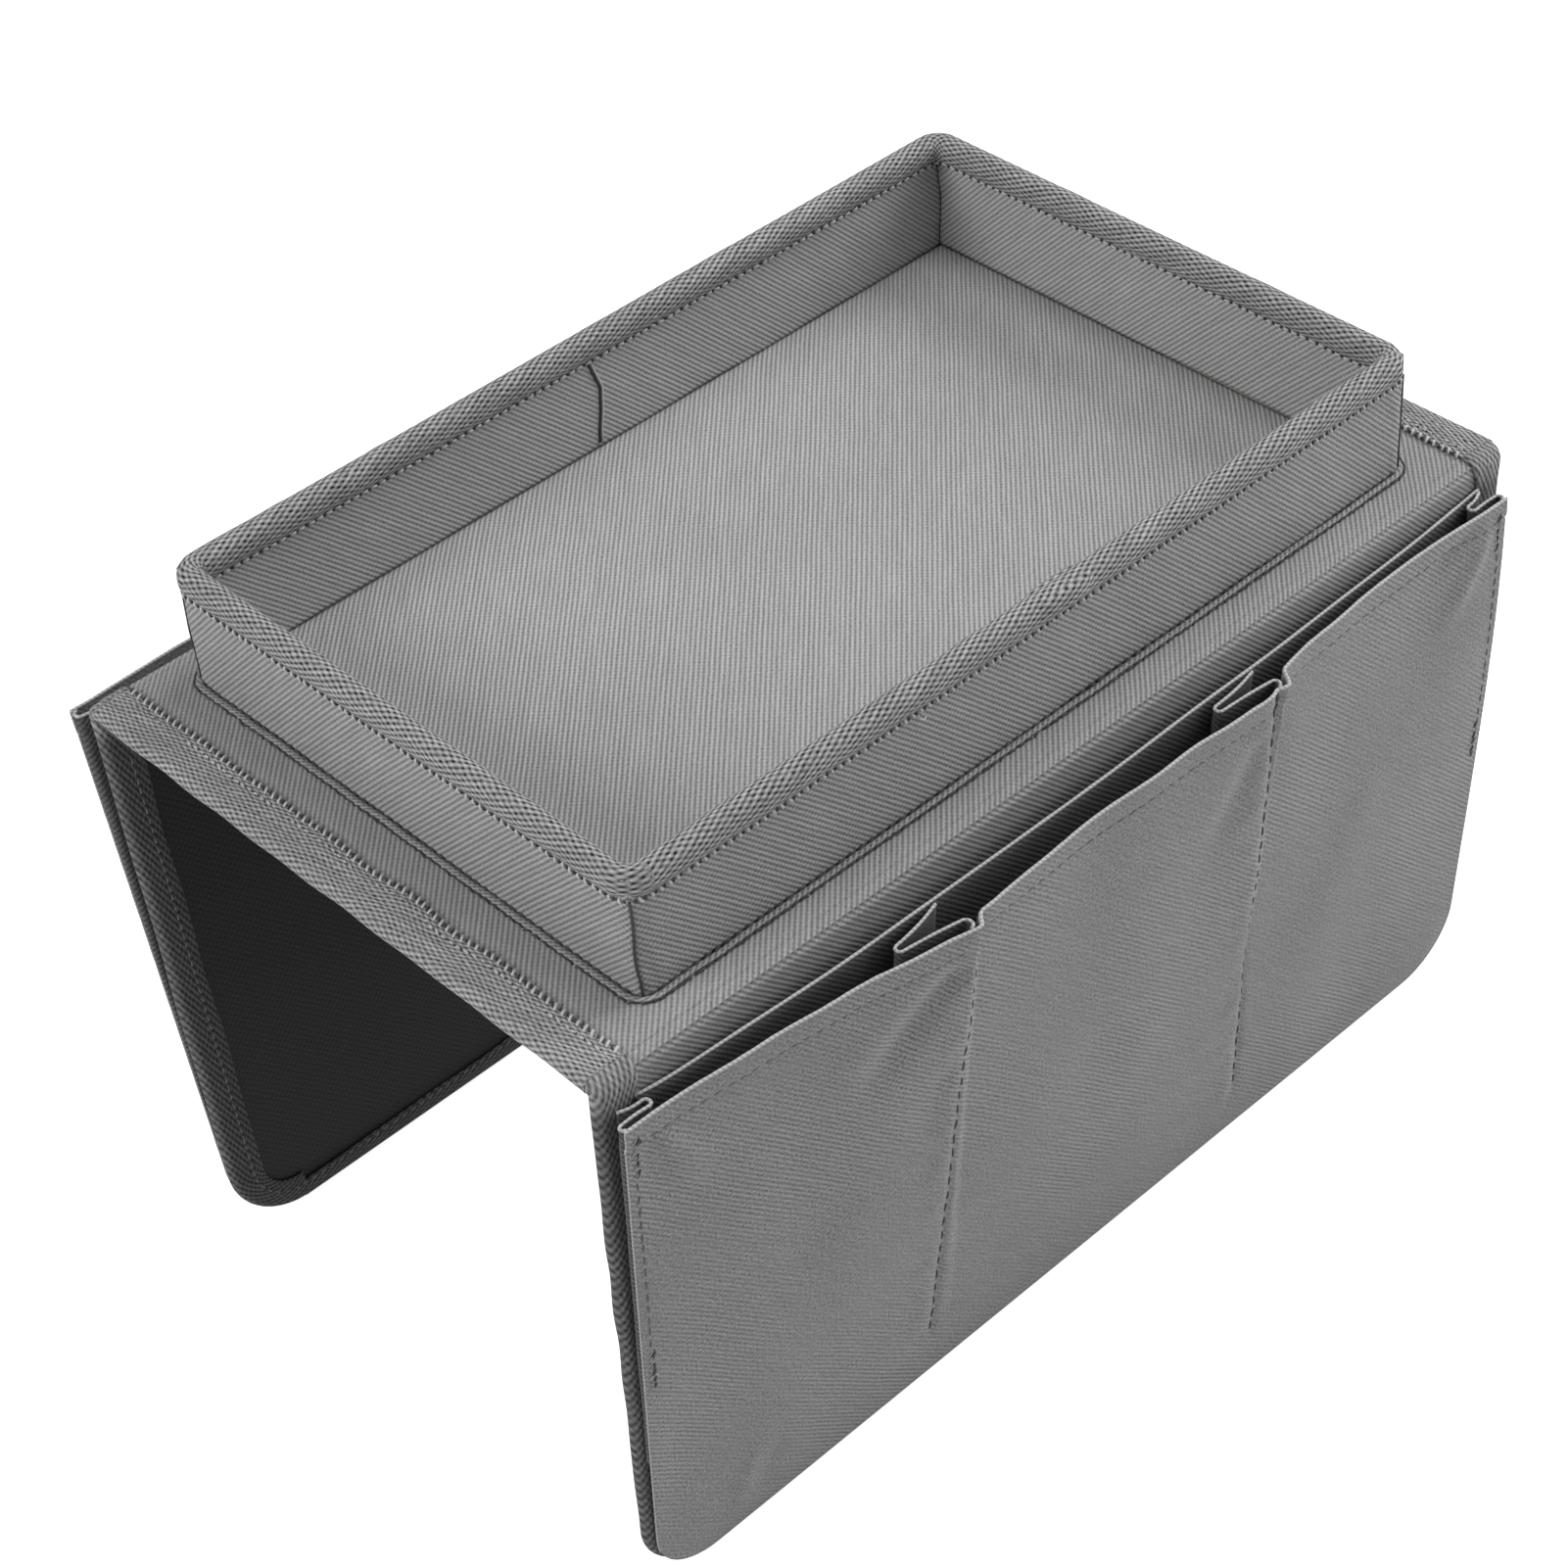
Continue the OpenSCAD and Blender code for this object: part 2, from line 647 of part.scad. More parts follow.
module front_left_tape() {
    color(TAPE) on_flap(-1) flap_side_tape(-1);
}

module front_right_tape() {
    color(TAPE) on_flap(-1) flap_side_tape(1);
}

module front_hem() {
    color(SHADE) on_flap(-1) flap_hem();
}

module front_flat_pocket() {
    color(CLOTH) on_flap(-1) flat_pocket();
}

module front_pocket_panel() {
    color(SHADE) on_flap(-1) pocket_panel(front_cells, mouth_draw_in);
}

module front_left_divider() {
    color(TAPE) on_flap(-1) divider(front_cells, divider_left_x, true);
}

module front_right_divider() {
    color(TAPE) on_flap(-1) divider(front_cells, divider_right_x, true);
}

module front_left_gusset() {
    color(TAPE) on_flap(-1) gusset(front_cells, -1, mouth_draw_in);
}

module front_right_gusset() {
    color(TAPE) on_flap(-1) gusset(front_cells, 1, mouth_draw_in);
}

// Rear flap

module rear_flap_cover() {
    flap_cover(1);
}

module rear_flap_board() {
    flap_board(1);
}

module rear_flap_lining() {
    flap_lining(1);
}

module rear_left_tape() {
    color(TAPE) on_flap(1) flap_side_tape(-1);
}

module rear_right_tape() {
    color(TAPE) on_flap(1) flap_side_tape(1);
}

module rear_hem() {
    color(SHADE) on_flap(1) flap_hem();
}

module rear_pocket_panel() {
    color(SHADE) on_flap(1) pocket_panel(rear_cells, 0);
}

module rear_divider() {
    color(TAPE) on_flap(1) divider(rear_cells, rear_divider_x, false);
}

module rear_left_gusset() {
    color(TAPE) on_flap(1) gusset(rear_cells, -1, 0);
}

module rear_right_gusset() {
    color(TAPE) on_flap(1) gusset(rear_cells, 1, 0);
}

top_cover();
top_board();
top_lining();
left_end_tape();
right_end_tape();
tray_floor_board();
tray_floor_cover();
tray_wall_cover();
tray_wall_lining();
tray_front_board();
tray_rear_board();
tray_left_board();
tray_right_board();
tray_rim_tape();
front_fold_cloth();
front_fold_tapes();
rear_fold_cloth();
rear_fold_tapes();
front_flap_cover();
front_flap_board();
front_flap_lining();
front_left_tape();
front_right_tape();
front_hem();
front_flat_pocket();
front_pocket_panel();
front_left_divider();
front_right_divider();
front_left_gusset();
front_right_gusset();
rear_flap_cover();
rear_flap_board();
rear_flap_lining();
rear_left_tape();
rear_right_tape();
rear_hem();
rear_pocket_panel();
rear_divider();
rear_left_gusset();
rear_right_gusset();
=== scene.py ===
# %% [markdown]
# # A sofa arm tray, sewn in numpy
# The object is a cloth saddle for a sofa arm: a stiff top with a shallow tray,
# and two flaps that carry pockets. Every visible part of it is cloth, so almost
# every piece here is a sheet: a grid of points worked out from a formula, given
# the cloth's thickness, and dressed in a woven material. The CAD model gives the
# places and sizes, in metres. The formulas work in millimetres, which read
# better for sewing, and are scaled once, when a mesh is made.

# %% Load the fixed frame
import math

import bpy
import numpy as np
from mathutils import Matrix, Vector


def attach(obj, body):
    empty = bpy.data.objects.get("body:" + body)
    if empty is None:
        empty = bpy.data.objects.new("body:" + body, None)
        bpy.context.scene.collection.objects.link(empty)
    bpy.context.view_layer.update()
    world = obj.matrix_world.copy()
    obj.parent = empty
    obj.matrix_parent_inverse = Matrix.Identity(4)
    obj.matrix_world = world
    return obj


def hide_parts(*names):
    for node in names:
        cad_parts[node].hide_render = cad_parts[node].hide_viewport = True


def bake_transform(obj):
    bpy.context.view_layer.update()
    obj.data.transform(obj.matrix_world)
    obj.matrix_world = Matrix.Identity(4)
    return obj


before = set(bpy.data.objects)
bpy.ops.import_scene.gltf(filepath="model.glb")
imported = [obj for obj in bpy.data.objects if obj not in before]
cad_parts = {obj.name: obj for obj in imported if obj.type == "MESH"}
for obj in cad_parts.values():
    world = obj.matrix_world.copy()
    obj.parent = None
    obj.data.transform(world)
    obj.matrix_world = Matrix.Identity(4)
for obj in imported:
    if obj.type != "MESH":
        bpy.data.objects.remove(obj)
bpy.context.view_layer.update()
MM = 0.001

# %% [markdown]
# ## The camera
# The photograph is taken from above the near left corner, with a long lens, so
# the sides of the object stay almost parallel. Azimuth, elevation and roll were
# fitted to corners of the object. A camera looks along its own -Z, so its three
# axes are the view's right, its up, and the direction back towards the viewer.

# %% Camera
VIEW_AZIMUTH, VIEW_ELEVATION, VIEW_ROLL = np.radians([-40.122, 41.352, -5.102])
CAMERA_PLACE = (-479.62, -550.45, 572.42)
LENS_MM, SENSOR_MM = 79.694, 36


def camera_axes(azimuth, elevation, roll):
    """Right, up and back of a camera: back = (sin a cos e, -cos a cos e, sin e),
    right = (cos a, sin a, 0), up = back x right, the last two turned by the roll."""
    back = np.array([math.sin(azimuth) * math.cos(elevation),
                     -math.cos(azimuth) * math.cos(elevation), math.sin(elevation)])
    right = np.array([math.cos(azimuth), math.sin(azimuth), 0])
    up = np.cross(back, right)
    return (math.cos(roll) * right + math.sin(roll) * up,
            math.cos(roll) * up - math.sin(roll) * right, back)


lens = bpy.data.cameras.new("photo_camera")
lens.lens, lens.sensor_width, lens.sensor_fit = LENS_MM, SENSOR_MM, "HORIZONTAL"
lens.clip_start, lens.clip_end = 0.01, 20
camera = bpy.data.objects.new("photo_camera", lens)
turn = Matrix([list(axis) for axis in camera_axes(VIEW_AZIMUTH, VIEW_ELEVATION, VIEW_ROLL)])
camera.matrix_world = Matrix.Translation(Vector(CAMERA_PLACE) * MM) @ turn.transposed().to_4x4()
bpy.context.scene.collection.objects.link(camera)
bpy.context.scene.camera = camera
print("camera at", [round(v, 3) for v in camera.location])

# %% [markdown]
# ## Nodes for the materials
# A material is a small network. This helper places one node, sets its plain
# values, and joins its inputs, so that each material below reads as a recipe.

# %% A helper that places one node
def node(tree, kind, values=None, **settings):
    """One node of that kind. settings are its own options. values maps an input's
    name or number to a number, or to the output that feeds it."""
    made = tree.nodes.new(kind)
    for key, value in settings.items():
        setattr(made, key, value)
    for key, value in (values or {}).items():
        if isinstance(value, bpy.types.NodeSocket):
            tree.links.new(value, made.inputs[key])
        else:
            made.inputs[key].default_value = value
    return made


def sum_up(tree, operation, *terms):
    """A Math node's result for its terms, which are numbers or outputs."""
    return node(tree, "ShaderNodeMath", dict(enumerate(terms)), operation=operation).outputs[0]


# %% [markdown]
# ## The weave
# Oxford cloth is a plain weave of thick yarns. From a little way off, the eye
# joins the tops of the crossings into slanting ribs, 1.3 mm apart. The group
# makes two sets of ribs at right angles from the cloth's own flat map: a sine
# wave along each of the two diagonals. With little of the second set the cloth
# looks ribbed, and with as much of it as of the first the cloth looks dotted, as
# tape cut on the bias does. Slow noise bends the ribs, because no cloth is
# pulled quite straight, and fine noise is the fuzz of the fibres.

# %% The weave's node group
RIB_MM = 1.34


def weave_group():
    """Height = 1/2 + ((1 - Cross) sin(2 pi p) + Cross sin(2 pi q)) / 2, where p and q
    are the distances along the map's two diagonals, in ribs."""
    group = bpy.data.node_groups.new("oxford_weave", "ShaderNodeTree")
    group.interface.new_socket("Map", in_out="INPUT", socket_type="NodeSocketVector")
    for name, value in (("Rib", RIB_MM * MM), ("Cross", 0.2), ("Wander", 0.35), ("Fuzz", 0.5),
                        ("Fade", 0.0)):
        group.interface.new_socket(name, in_out="INPUT",
                                   socket_type="NodeSocketFloat").default_value = value
    for name in ("Height", "Tone"):
        group.interface.new_socket(name, in_out="OUTPUT", socket_type="NodeSocketFloat")
    entry = node(group, "NodeGroupInput")
    flat_map, rib, cross, wander, fuzz, fade = entry.outputs[:6]
    axes = node(group, "ShaderNodeSeparateXYZ", {0: flat_map})
    root_two_rib = sum_up(group, "MULTIPLY", rib, math.sqrt(2))
    bend = node(group, "ShaderNodeTexNoise", {"Vector": flat_map, "Scale": 45, "Detail": 1})
    bend_by = sum_up(group, "MULTIPLY", sum_up(group, "SUBTRACT", bend.outputs[0], 0.5), wander)
    waves = []
    distances = []
    for operation in ("SUBTRACT", "ADD"):
        along = sum_up(group, operation, axes.outputs[1], axes.outputs[0])
        ribs = sum_up(group, "ADD", sum_up(group, "DIVIDE", along, root_two_rib), bend_by)
        distances.append(ribs)
        waves.append(sum_up(group, "SINE", sum_up(group, "MULTIPLY", ribs, 2 * math.pi)))
    first = sum_up(group, "MULTIPLY", waves[0], sum_up(group, "SUBTRACT", 1, cross))
    both = sum_up(group, "MULTIPLY_ADD", waves[1], cross, first)
    patches = node(group, "ShaderNodeTexNoise", {"Vector": flat_map, "Scale": 13, "Detail": 1})
    strength = node(group, "ShaderNodeMapRange",
                    {0: patches.outputs[0], 1: 0.4, 2: 0.6, 3: sum_up(group, "SUBTRACT", 1, fade), 4: 1},
                    interpolation_type="SMOOTHSTEP")
    both = sum_up(group, "MULTIPLY", both, strength.outputs[0])
    fibre = node(group, "ShaderNodeTexNoise", {"Vector": flat_map, "Scale": 1300, "Detail": 2})
    fibre_by = sum_up(group, "MULTIPLY", sum_up(group, "SUBTRACT", fibre.outputs[0], 0.5), fuzz)
    height = sum_up(group, "ADD", sum_up(group, "MULTIPLY_ADD", both, 0.5, 0.5), fibre_by)
    yarn_map = node(group, "ShaderNodeCombineXYZ",
                    {0: distances[0], 1: sum_up(group, "MULTIPLY", distances[1], 0.12)})
    yarn = node(group, "ShaderNodeTexNoise",
                {"Vector": yarn_map.outputs[0], "Scale": 0.7, "Detail": 2})
    node(group, "NodeGroupOutput", {"Height": height, "Tone": yarn.outputs[0]})
    return group


WEAVE = weave_group()
print("weave group with", len(WEAVE.nodes), "nodes")

# %% [markdown]
# ## Cloth materials
# Woven polyester is matt: light enters the yarns and comes out again, so the
# shader is rough, with a weak highlight and a trace of sheen. The ribs' height
# feeds both the colour, dark between the ribs, and the bump. A slow cloud of
# tone keeps large areas from looking printed.

# %% Cloth materials
def grey(level):
    """A neutral colour of that brightness."""
    return (level, level, level, 1)


def cloth_material(name, level, contrast, cross=0.2, bump=0.5, fuzz=1.0, rough=0.9, sheen=0.08,
                   rib=RIB_MM, fade=0.0, painted_shade=None):
    """Woven cloth: colour = level x (1 + contrast (height - 1/2) x 2) x tone x drift.
    painted_shade is (low z, high z, share): painted shade, darker downwards; below low z in mm only that share of
    the brightness is left."""
    material = bpy.data.materials.new(name)
    material.use_nodes = True
    tree = material.node_tree
    tree.nodes.clear()
    flat_map = node(tree, "ShaderNodeUVMap", uv_map="flat").outputs[0]
    weave = node(tree, "ShaderNodeGroup", node_tree=WEAVE)
    tree.links.new(flat_map, weave.inputs["Map"])
    weave.inputs["Rib"].default_value = rib * MM
    weave.inputs["Cross"].default_value = cross
    weave.inputs["Fuzz"].default_value = fuzz
    weave.inputs["Fade"].default_value = fade
    cloud = node(tree, "ShaderNodeTexNoise", {"Vector": flat_map, "Scale": 14, "Detail": 3})
    shade = node(tree, "ShaderNodeMapRange",
                 {0: weave.outputs["Height"], 1: 0, 2: 1, 3: 1 - contrast, 4: 1 + contrast},
                 clamp=False)
    tone = node(tree, "ShaderNodeMapRange",
                {0: weave.outputs["Tone"], 1: 0.3, 2: 0.7, 3: 1 - contrast / 6, 4: 1 + contrast / 6})
    drift = node(tree, "ShaderNodeMapRange", {0: cloud.outputs[0], 1: 0.3, 2: 0.7, 3: 0.95, 4: 1.05})
    value = sum_up(tree, "MULTIPLY", sum_up(tree, "MULTIPLY", shade.outputs[0], tone.outputs[0]),
                   sum_up(tree, "MULTIPLY", drift.outputs[0], level))
    # Painted shade: below a height on the object the colour keeps only a share of its brightness.
    if painted_shade:
        place = node(tree, "ShaderNodeTexCoord").outputs["Object"]
        height = node(tree, "ShaderNodeSeparateXYZ", {0: place}).outputs[2]
        left = node(tree, "ShaderNodeMapRange", {0: height, 1: painted_shade[0] * MM, 2: painted_shade[1] * MM,
                                                 3: painted_shade[2], 4: 1}, interpolation_type="SMOOTHSTEP")
        value = sum_up(tree, "MULTIPLY", value, left.outputs[0])
    colour = node(tree, "ShaderNodeCombineColor", {0: value, 1: value, 2: value})
    relief = node(tree, "ShaderNodeBump",
                  {"Strength": bump, "Distance": 0.3 * MM, "Height": weave.outputs["Height"]})
    roughness = node(tree, "ShaderNodeMapRange",
                     {0: weave.outputs["Height"], 1: 0, 2: 1, 3: rough + 0.06, 4: rough - 0.06})
    shader = node(tree, "ShaderNodeBsdfPrincipled",
                  {"Base Color": colour.outputs[0], "Roughness": roughness.outputs[0],
                   "Normal": relief.outputs[0], "Specular IOR Level": 0.2,
                   "Sheen Weight": sheen, "Sheen Roughness": 0.5})
    node(tree, "ShaderNodeOutputMaterial", {"Surface": shader.outputs[0]})
    return material


TOP_CLOTH = cloth_material("top_oxford", 0.31, 0.38, cross=0.14)
WALL_CLOTH = cloth_material("wall_oxford", 0.32, 0.5, cross=0.26, bump=0.6)
# Painted light: the tray's inner walls and floor are the same cloth as the outside of the walls, made lighter, 0.37
# against 0.32, for the light inside the tray.
INNER_CLOTH = cloth_material("inner_oxford", 0.37, 0.42, cross=0.16)
POCKET_CLOTH = cloth_material("pocket_oxford", 0.28, 0.3, bump=0.35, fuzz=3.0, fade=0.7)
# Painted shade: the pleats and the flat pocket lie inside the pockets, and their cloth is made nearly black, 0.09,
# for the shade there.
DEEP_SHADE_CLOTH = cloth_material("deep_shade_oxford", 0.09, 0.5)
RIM_CLOTH = cloth_material("rim_tape", 0.28, 0.95, cross=0.42, bump=1.0)
TAPE_CLOTH = cloth_material("end_tape", 0.29, 0.8, cross=0.42, bump=1.0)
# Painted shade: the flaps' side tapes and foot hems are darker than the end tape, which is the same tape, and from z
# = 0 down to z = -9 mm they darken further to 0.42 of their brightness.
SIDE_CLOTH = cloth_material("flap_tape", 0.25, 0.7, cross=0.3, bump=1.0, painted_shade=(-9, 0, 0.42))
LINING_CLOTH = cloth_material("coated_lining", 0.005, 0.7, cross=0.5, bump=0.2, rough=0.62,
                              sheen=0.0, rib=1.63)
print("cloths:", [m.name for m in bpy.data.materials if m.users == 0][:8])

# %% [markdown]
# Sewing thread is a shiny twisted filament. Its twist is finer than the render,
# so a wave along the stitch's own map is enough. The boards inside are plain
# grey fibreboard, and nobody sees them, but they get a material of their own.

# %% Thread and board
def thread_material(name, level, twist_mm=0.5):
    """Twisted thread: bands of light and dark that run slantwise round it."""
    material = bpy.data.materials.new(name)
    material.use_nodes = True
    tree = material.node_tree
    tree.nodes.clear()
    flat_map = node(tree, "ShaderNodeUVMap", uv_map="flat").outputs[0]
    axes = node(tree, "ShaderNodeSeparateXYZ", {0: flat_map})
    slant = sum_up(tree, "ADD", axes.outputs[0], axes.outputs[1])
    twist = sum_up(tree, "SINE", sum_up(tree, "MULTIPLY", slant, 2 * math.pi / (twist_mm * MM)))
    value = node(tree, "ShaderNodeMapRange", {0: twist, 1: -1, 2: 1, 3: 0.7 * level, 4: 1.2 * level})
    colour = node(tree, "ShaderNodeCombineColor", {n: value.outputs[0] for n in range(3)})
    shader = node(tree, "ShaderNodeBsdfPrincipled",
                  {"Base Color": colour.outputs[0], "Roughness": 0.55, "Specular IOR Level": 0.4})
    node(tree, "ShaderNodeOutputMaterial", {"Surface": shader.outputs[0]})
    return material


def board_material():
    """Fibreboard: a pale base with soft specks, on Object coordinates."""
    material = bpy.data.materials.new("fibreboard")
    material.use_nodes = True
    tree = material.node_tree
    tree.nodes.clear()
    place = node(tree, "ShaderNodeTexCoord").outputs["Object"]
    speck = node(tree, "ShaderNodeTexNoise", {"Vector": place, "Scale": 900, "Detail": 3})
    value = node(tree, "ShaderNodeMapRange", {0: speck.outputs[0], 1: 0.35, 2: 0.65, 3: 0.42, 4: 0.56})
    warm = sum_up(tree, "MULTIPLY", value.outputs[0], 0.82)
    colour = node(tree, "ShaderNodeCombineColor", {0: value.outputs[0], 1: value.outputs[0], 2: warm})
    relief = node(tree, "ShaderNodeBump",
                  {"Strength": 0.2, "Distance": 0.1 * MM, "Height": speck.outputs[0]})
    shader = node(tree, "ShaderNodeBsdfPrincipled",
                  {"Base Color": colour.outputs[0], "Roughness": 0.85, "Normal": relief.outputs[0]})
    node(tree, "ShaderNodeOutputMaterial", {"Surface": shader.outputs[0]})
    return material


LIGHT_THREAD = thread_material("light_thread", 0.62)
GREY_THREAD = thread_material("grey_thread", 0.13)
PALE_THREAD = thread_material("pale_thread", 0.2)
# The dark thread also paints shade: the needle holes, drawn as blobs of dark thread, and the dark rows at the tray's
# foot and at the top of each divider.
DARK_THREAD_AND_SHADE = thread_material("dark_thread_and_shade", 0.035)
# Painted highlights: pale yarns along the pockets' mouths and along the panels' folded sides stand for the light
# that these edges catch. The second material is also the pale thread of the panels' tacks.
EDGE_HIGHLIGHT = thread_material("edge_highlight_yarn", 0.5, 1.4)
FOLD_HIGHLIGHT_AND_PALE_THREAD = thread_material("fold_highlight_and_pale_thread", 0.36, 1.4)
BOARD = board_material()
for name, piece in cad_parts.items():
    if name.endswith("_board"):
        piece.data.materials.clear()
        piece.data.materials.append(BOARD)

# %% [markdown]
# ## From a grid of points to a piece of cloth
# A sheet is a grid of points P(i, j) for its outer face. The inner face lies the
# cloth's thickness behind it, against the surface normal dP/di x dP/dj, and four
# narrow strips close the edges. A ring of cloth joins its last column to its
# first instead. The flat map holds, for each point, where it was on the cloth
# before sewing, in metres, so the weave follows every fold at its true size.

# %% Grids and meshes
def quads(n, m, ring_i=False, ring_j=False):
    """Corners of the quads of an n by m grid, once as point numbers and once as
    numbers in the map's grid, which has one more row where the grid is a ring."""
    i, j = np.meshgrid(np.arange(n - 1 + ring_i), np.arange(m - 1 + ring_j), indexing="ij")
    i, j = i.ravel(), j.ravel()
    steps = ((0, 0), (1, 0), (1, 1), (0, 1))
    points = np.stack([(i + a) % n * m + (j + b) % m for a, b in steps], -1)
    places = np.stack([(i + a) * (m + ring_j) + j + b for a, b in steps], -1)
    return points, places


def make_piece(name, points, groups):
    """A mesh object. Each group is (corner numbers, corner maps, smooth or not)."""
    mesh = bpy.data.meshes.new(name)
    sizes = np.concatenate([np.full(len(c), c.shape[1]) for c, _, _ in groups])
    corners = np.concatenate([c.ravel() for c, _, _ in groups])
    mesh.vertices.add(len(points))
    mesh.vertices.foreach_set("co", (points * MM).ravel())
    mesh.loops.add(len(corners))
    mesh.loops.foreach_set("vertex_index", corners.astype(np.int32))
    mesh.polygons.add(len(sizes))
    mesh.polygons.foreach_set("loop_start", (np.cumsum(sizes) - sizes).astype(np.int32))
    mesh.polygons.foreach_set("use_smooth", np.concatenate([np.full(len(c), s) for c, _, s in groups]))
    flat_map = mesh.uv_layers.new(name="flat")
    flat_map.data.foreach_set("uv", np.concatenate([u.reshape(-1, 2) for _, u, _ in groups]).ravel())
    mesh.update(calc_edges=True)
    piece = bpy.data.objects.new(name, mesh)
    bpy.context.scene.collection.objects.link(piece)
    return piece


def normals(points, ring=False):
    """Unit normals dP/di x dP/dj of a grid."""
    padded = np.concatenate([points[-1:], points, points[:1]]) if ring else points
    along_i = np.gradient(padded, axis=0)
    along_i = along_i[1:-1] if ring else along_i
    normal = np.cross(along_i, np.gradient(points, axis=1))
    return normal / np.maximum(np.linalg.norm(normal, axis=-1, keepdims=True), 1e-9)


def cloth(name, outer, flat_map, thick, ring=False):
    """A closed sheet: the outer grid, the inner grid at outer - thick x normal, and
    the strips between their edges. flat_map is in metres."""
    n, m = outer.shape[:2]
    inner = outer - thick * normals(outer, ring)
    points = np.concatenate([outer.reshape(-1, 3), inner.reshape(-1, 3)])
    corners, places = quads(n, m, ring)
    maps = flat_map.reshape(-1, 2)
    groups = [(corners, maps[places], True), (corners[:, ::-1] + n * m, maps[places[:, ::-1]], True)]
    grid = np.arange(n * m).reshape(n, m)
    edges = [(grid[:, 0], grid[:, 0] + n * m), (grid[:, -1] + n * m, grid[:, -1])]
    if not ring:
        edges += [(grid[0] + n * m, grid[0]), (grid[-1], grid[-1] + n * m)]
    for top, below in edges:
        if ring:
            top, below = np.append(top, top[0]), np.append(below, below[0])
        strip = np.stack([below[:-1], below[1:], top[1:], top[:-1]], -1)
        spots = np.minimum(strip % (n * m), len(maps) - 1)
        groups.append((strip, maps[spots], False))
    return make_piece(name, points, groups)


def roll(name, points, flat_map, ring=True):
    """A closed tube: P(i, j) with j round the section. ring joins its two ends,
    otherwise they are closed by flat caps."""
    n, m = points.shape[:2]
    corners, places = quads(n, m, ring, True)
    maps = flat_map.reshape(-1, 2)
    groups = [(corners, maps[places], True)]
    if not ring:
        first = np.arange(m)[None, ::-1]
        last = (n - 1) * m + np.arange(m)[None]
        groups += [(first, maps[first % m], False), (last, maps[last % m], False)]
    return make_piece(name, points.reshape(-1, 3), groups)


def level_map(x, y):
    """Map of cloth that was cut along its yarns, from lengths in mm."""
    return np.stack(np.broadcast_arrays(x, y), -1) * MM


TAPE_REPEAT_ALONG, TAPE_REPEAT_ACROSS = 3.4, 1.6


def tape_map(along, across):
    """Map of woven tape: stretched until the weave's two diagonals repeat every
    3.4 mm along the tape and every 1.6 mm across it."""
    fit = math.sqrt(2) * RIB_MM
    return level_map(across * fit / TAPE_REPEAT_ACROSS, along * fit / TAPE_REPEAT_ALONG)


# %% [markdown]
# Cloth is never smooth. These two helpers give every piece some life: `ripple` is
# a sum of a few long waves in random directions, with the same random draws at
# each run, and `bump` is a soft hill used for creases and puckers.

# %% Soft unevenness
def ripple(x, y, seed, length, height):
    """height x the mean of 6 sine waves of about that length, in mm."""
    draw = np.random.default_rng(seed)
    total = 0
    for _ in range(6):
        angle, phase = draw.uniform(0, 2 * math.pi, 2)
        wave = length * draw.uniform(0.6, 1.6)
        total = total + np.sin(2 * math.pi * (x * math.cos(angle) + y * math.sin(angle)) / wave + phase)
    return height * total / 6


def hill(t, middle, width):
    """exp(-((t - middle) / width)^2): a soft hill of height 1."""
    return np.exp(-((t - middle) / width) ** 2)


def ease(t):
    """A smooth step from 0 to 1: 3 t^2 - 2 t^3, with t held between 0 and 1."""
    t = np.clip(t, 0, 1)
    return t * t * (3 - 2 * t)


def mix(a, b, t):
    """a at t = 0, b at t = 1."""
    return a + (b - a) * t


# %% [markdown]
# `dress` does what every piece needs once its mesh is there: its material, the body it moves with, and the CAD nodes
# it stands for. Cloth that crosses a joint gets no body: its place is baked into its points.

# %% Dressing a piece
def dress(piece, material, body=None, bend=None, stands_for=()):
    """bend is (body a, body b, start, end) in mm for cloth that crosses a joint."""
    piece.data.materials.append(material)
    if bend:
        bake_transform(piece)
    else:
        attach(piece, body)
    if stands_for:
        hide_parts(*stands_for)
    print(f"{piece.name}: {len(piece.data.polygons)} faces on {body or bend[:2]}")
    return piece


# %% [markdown]
# ## Stitches
# A stitch is a short arch of thread that dives into the cloth at both ends. One
# arch is worked out once, as five rings of six points, and copied to every place
# along a seam by array arithmetic. Stitches run along a seam, or stand across it
# like the rungs of a ladder where a tape's edge is oversewn.

# %% Stitches along a seam
RING_PLACES = np.array([-1, -0.7, 0, 0.7, 1])
RING_SIZES = np.array([0.5, 0.9, 1, 0.9, 0.5])
RING_LIFTS = np.array([-1.2, 0.2, 0.6, 0.2, -1.2])
RING_ANGLES = np.arange(6) * math.pi / 3


def measure_along(path):
    """Distance of each point of a path from its start."""
    return np.concatenate([[0], np.cumsum(np.linalg.norm(np.diff(path, axis=0), axis=1))])


def sample(path, distance, at):
    """Values of a path's rows at the given distances."""
    return np.stack([np.interp(at, distance, path[:, k]) for k in range(path.shape[1])], -1)


def unit(vectors):
    """Vectors made one long."""
    return vectors / np.maximum(np.linalg.norm(vectors, axis=-1, keepdims=True), 1e-9)


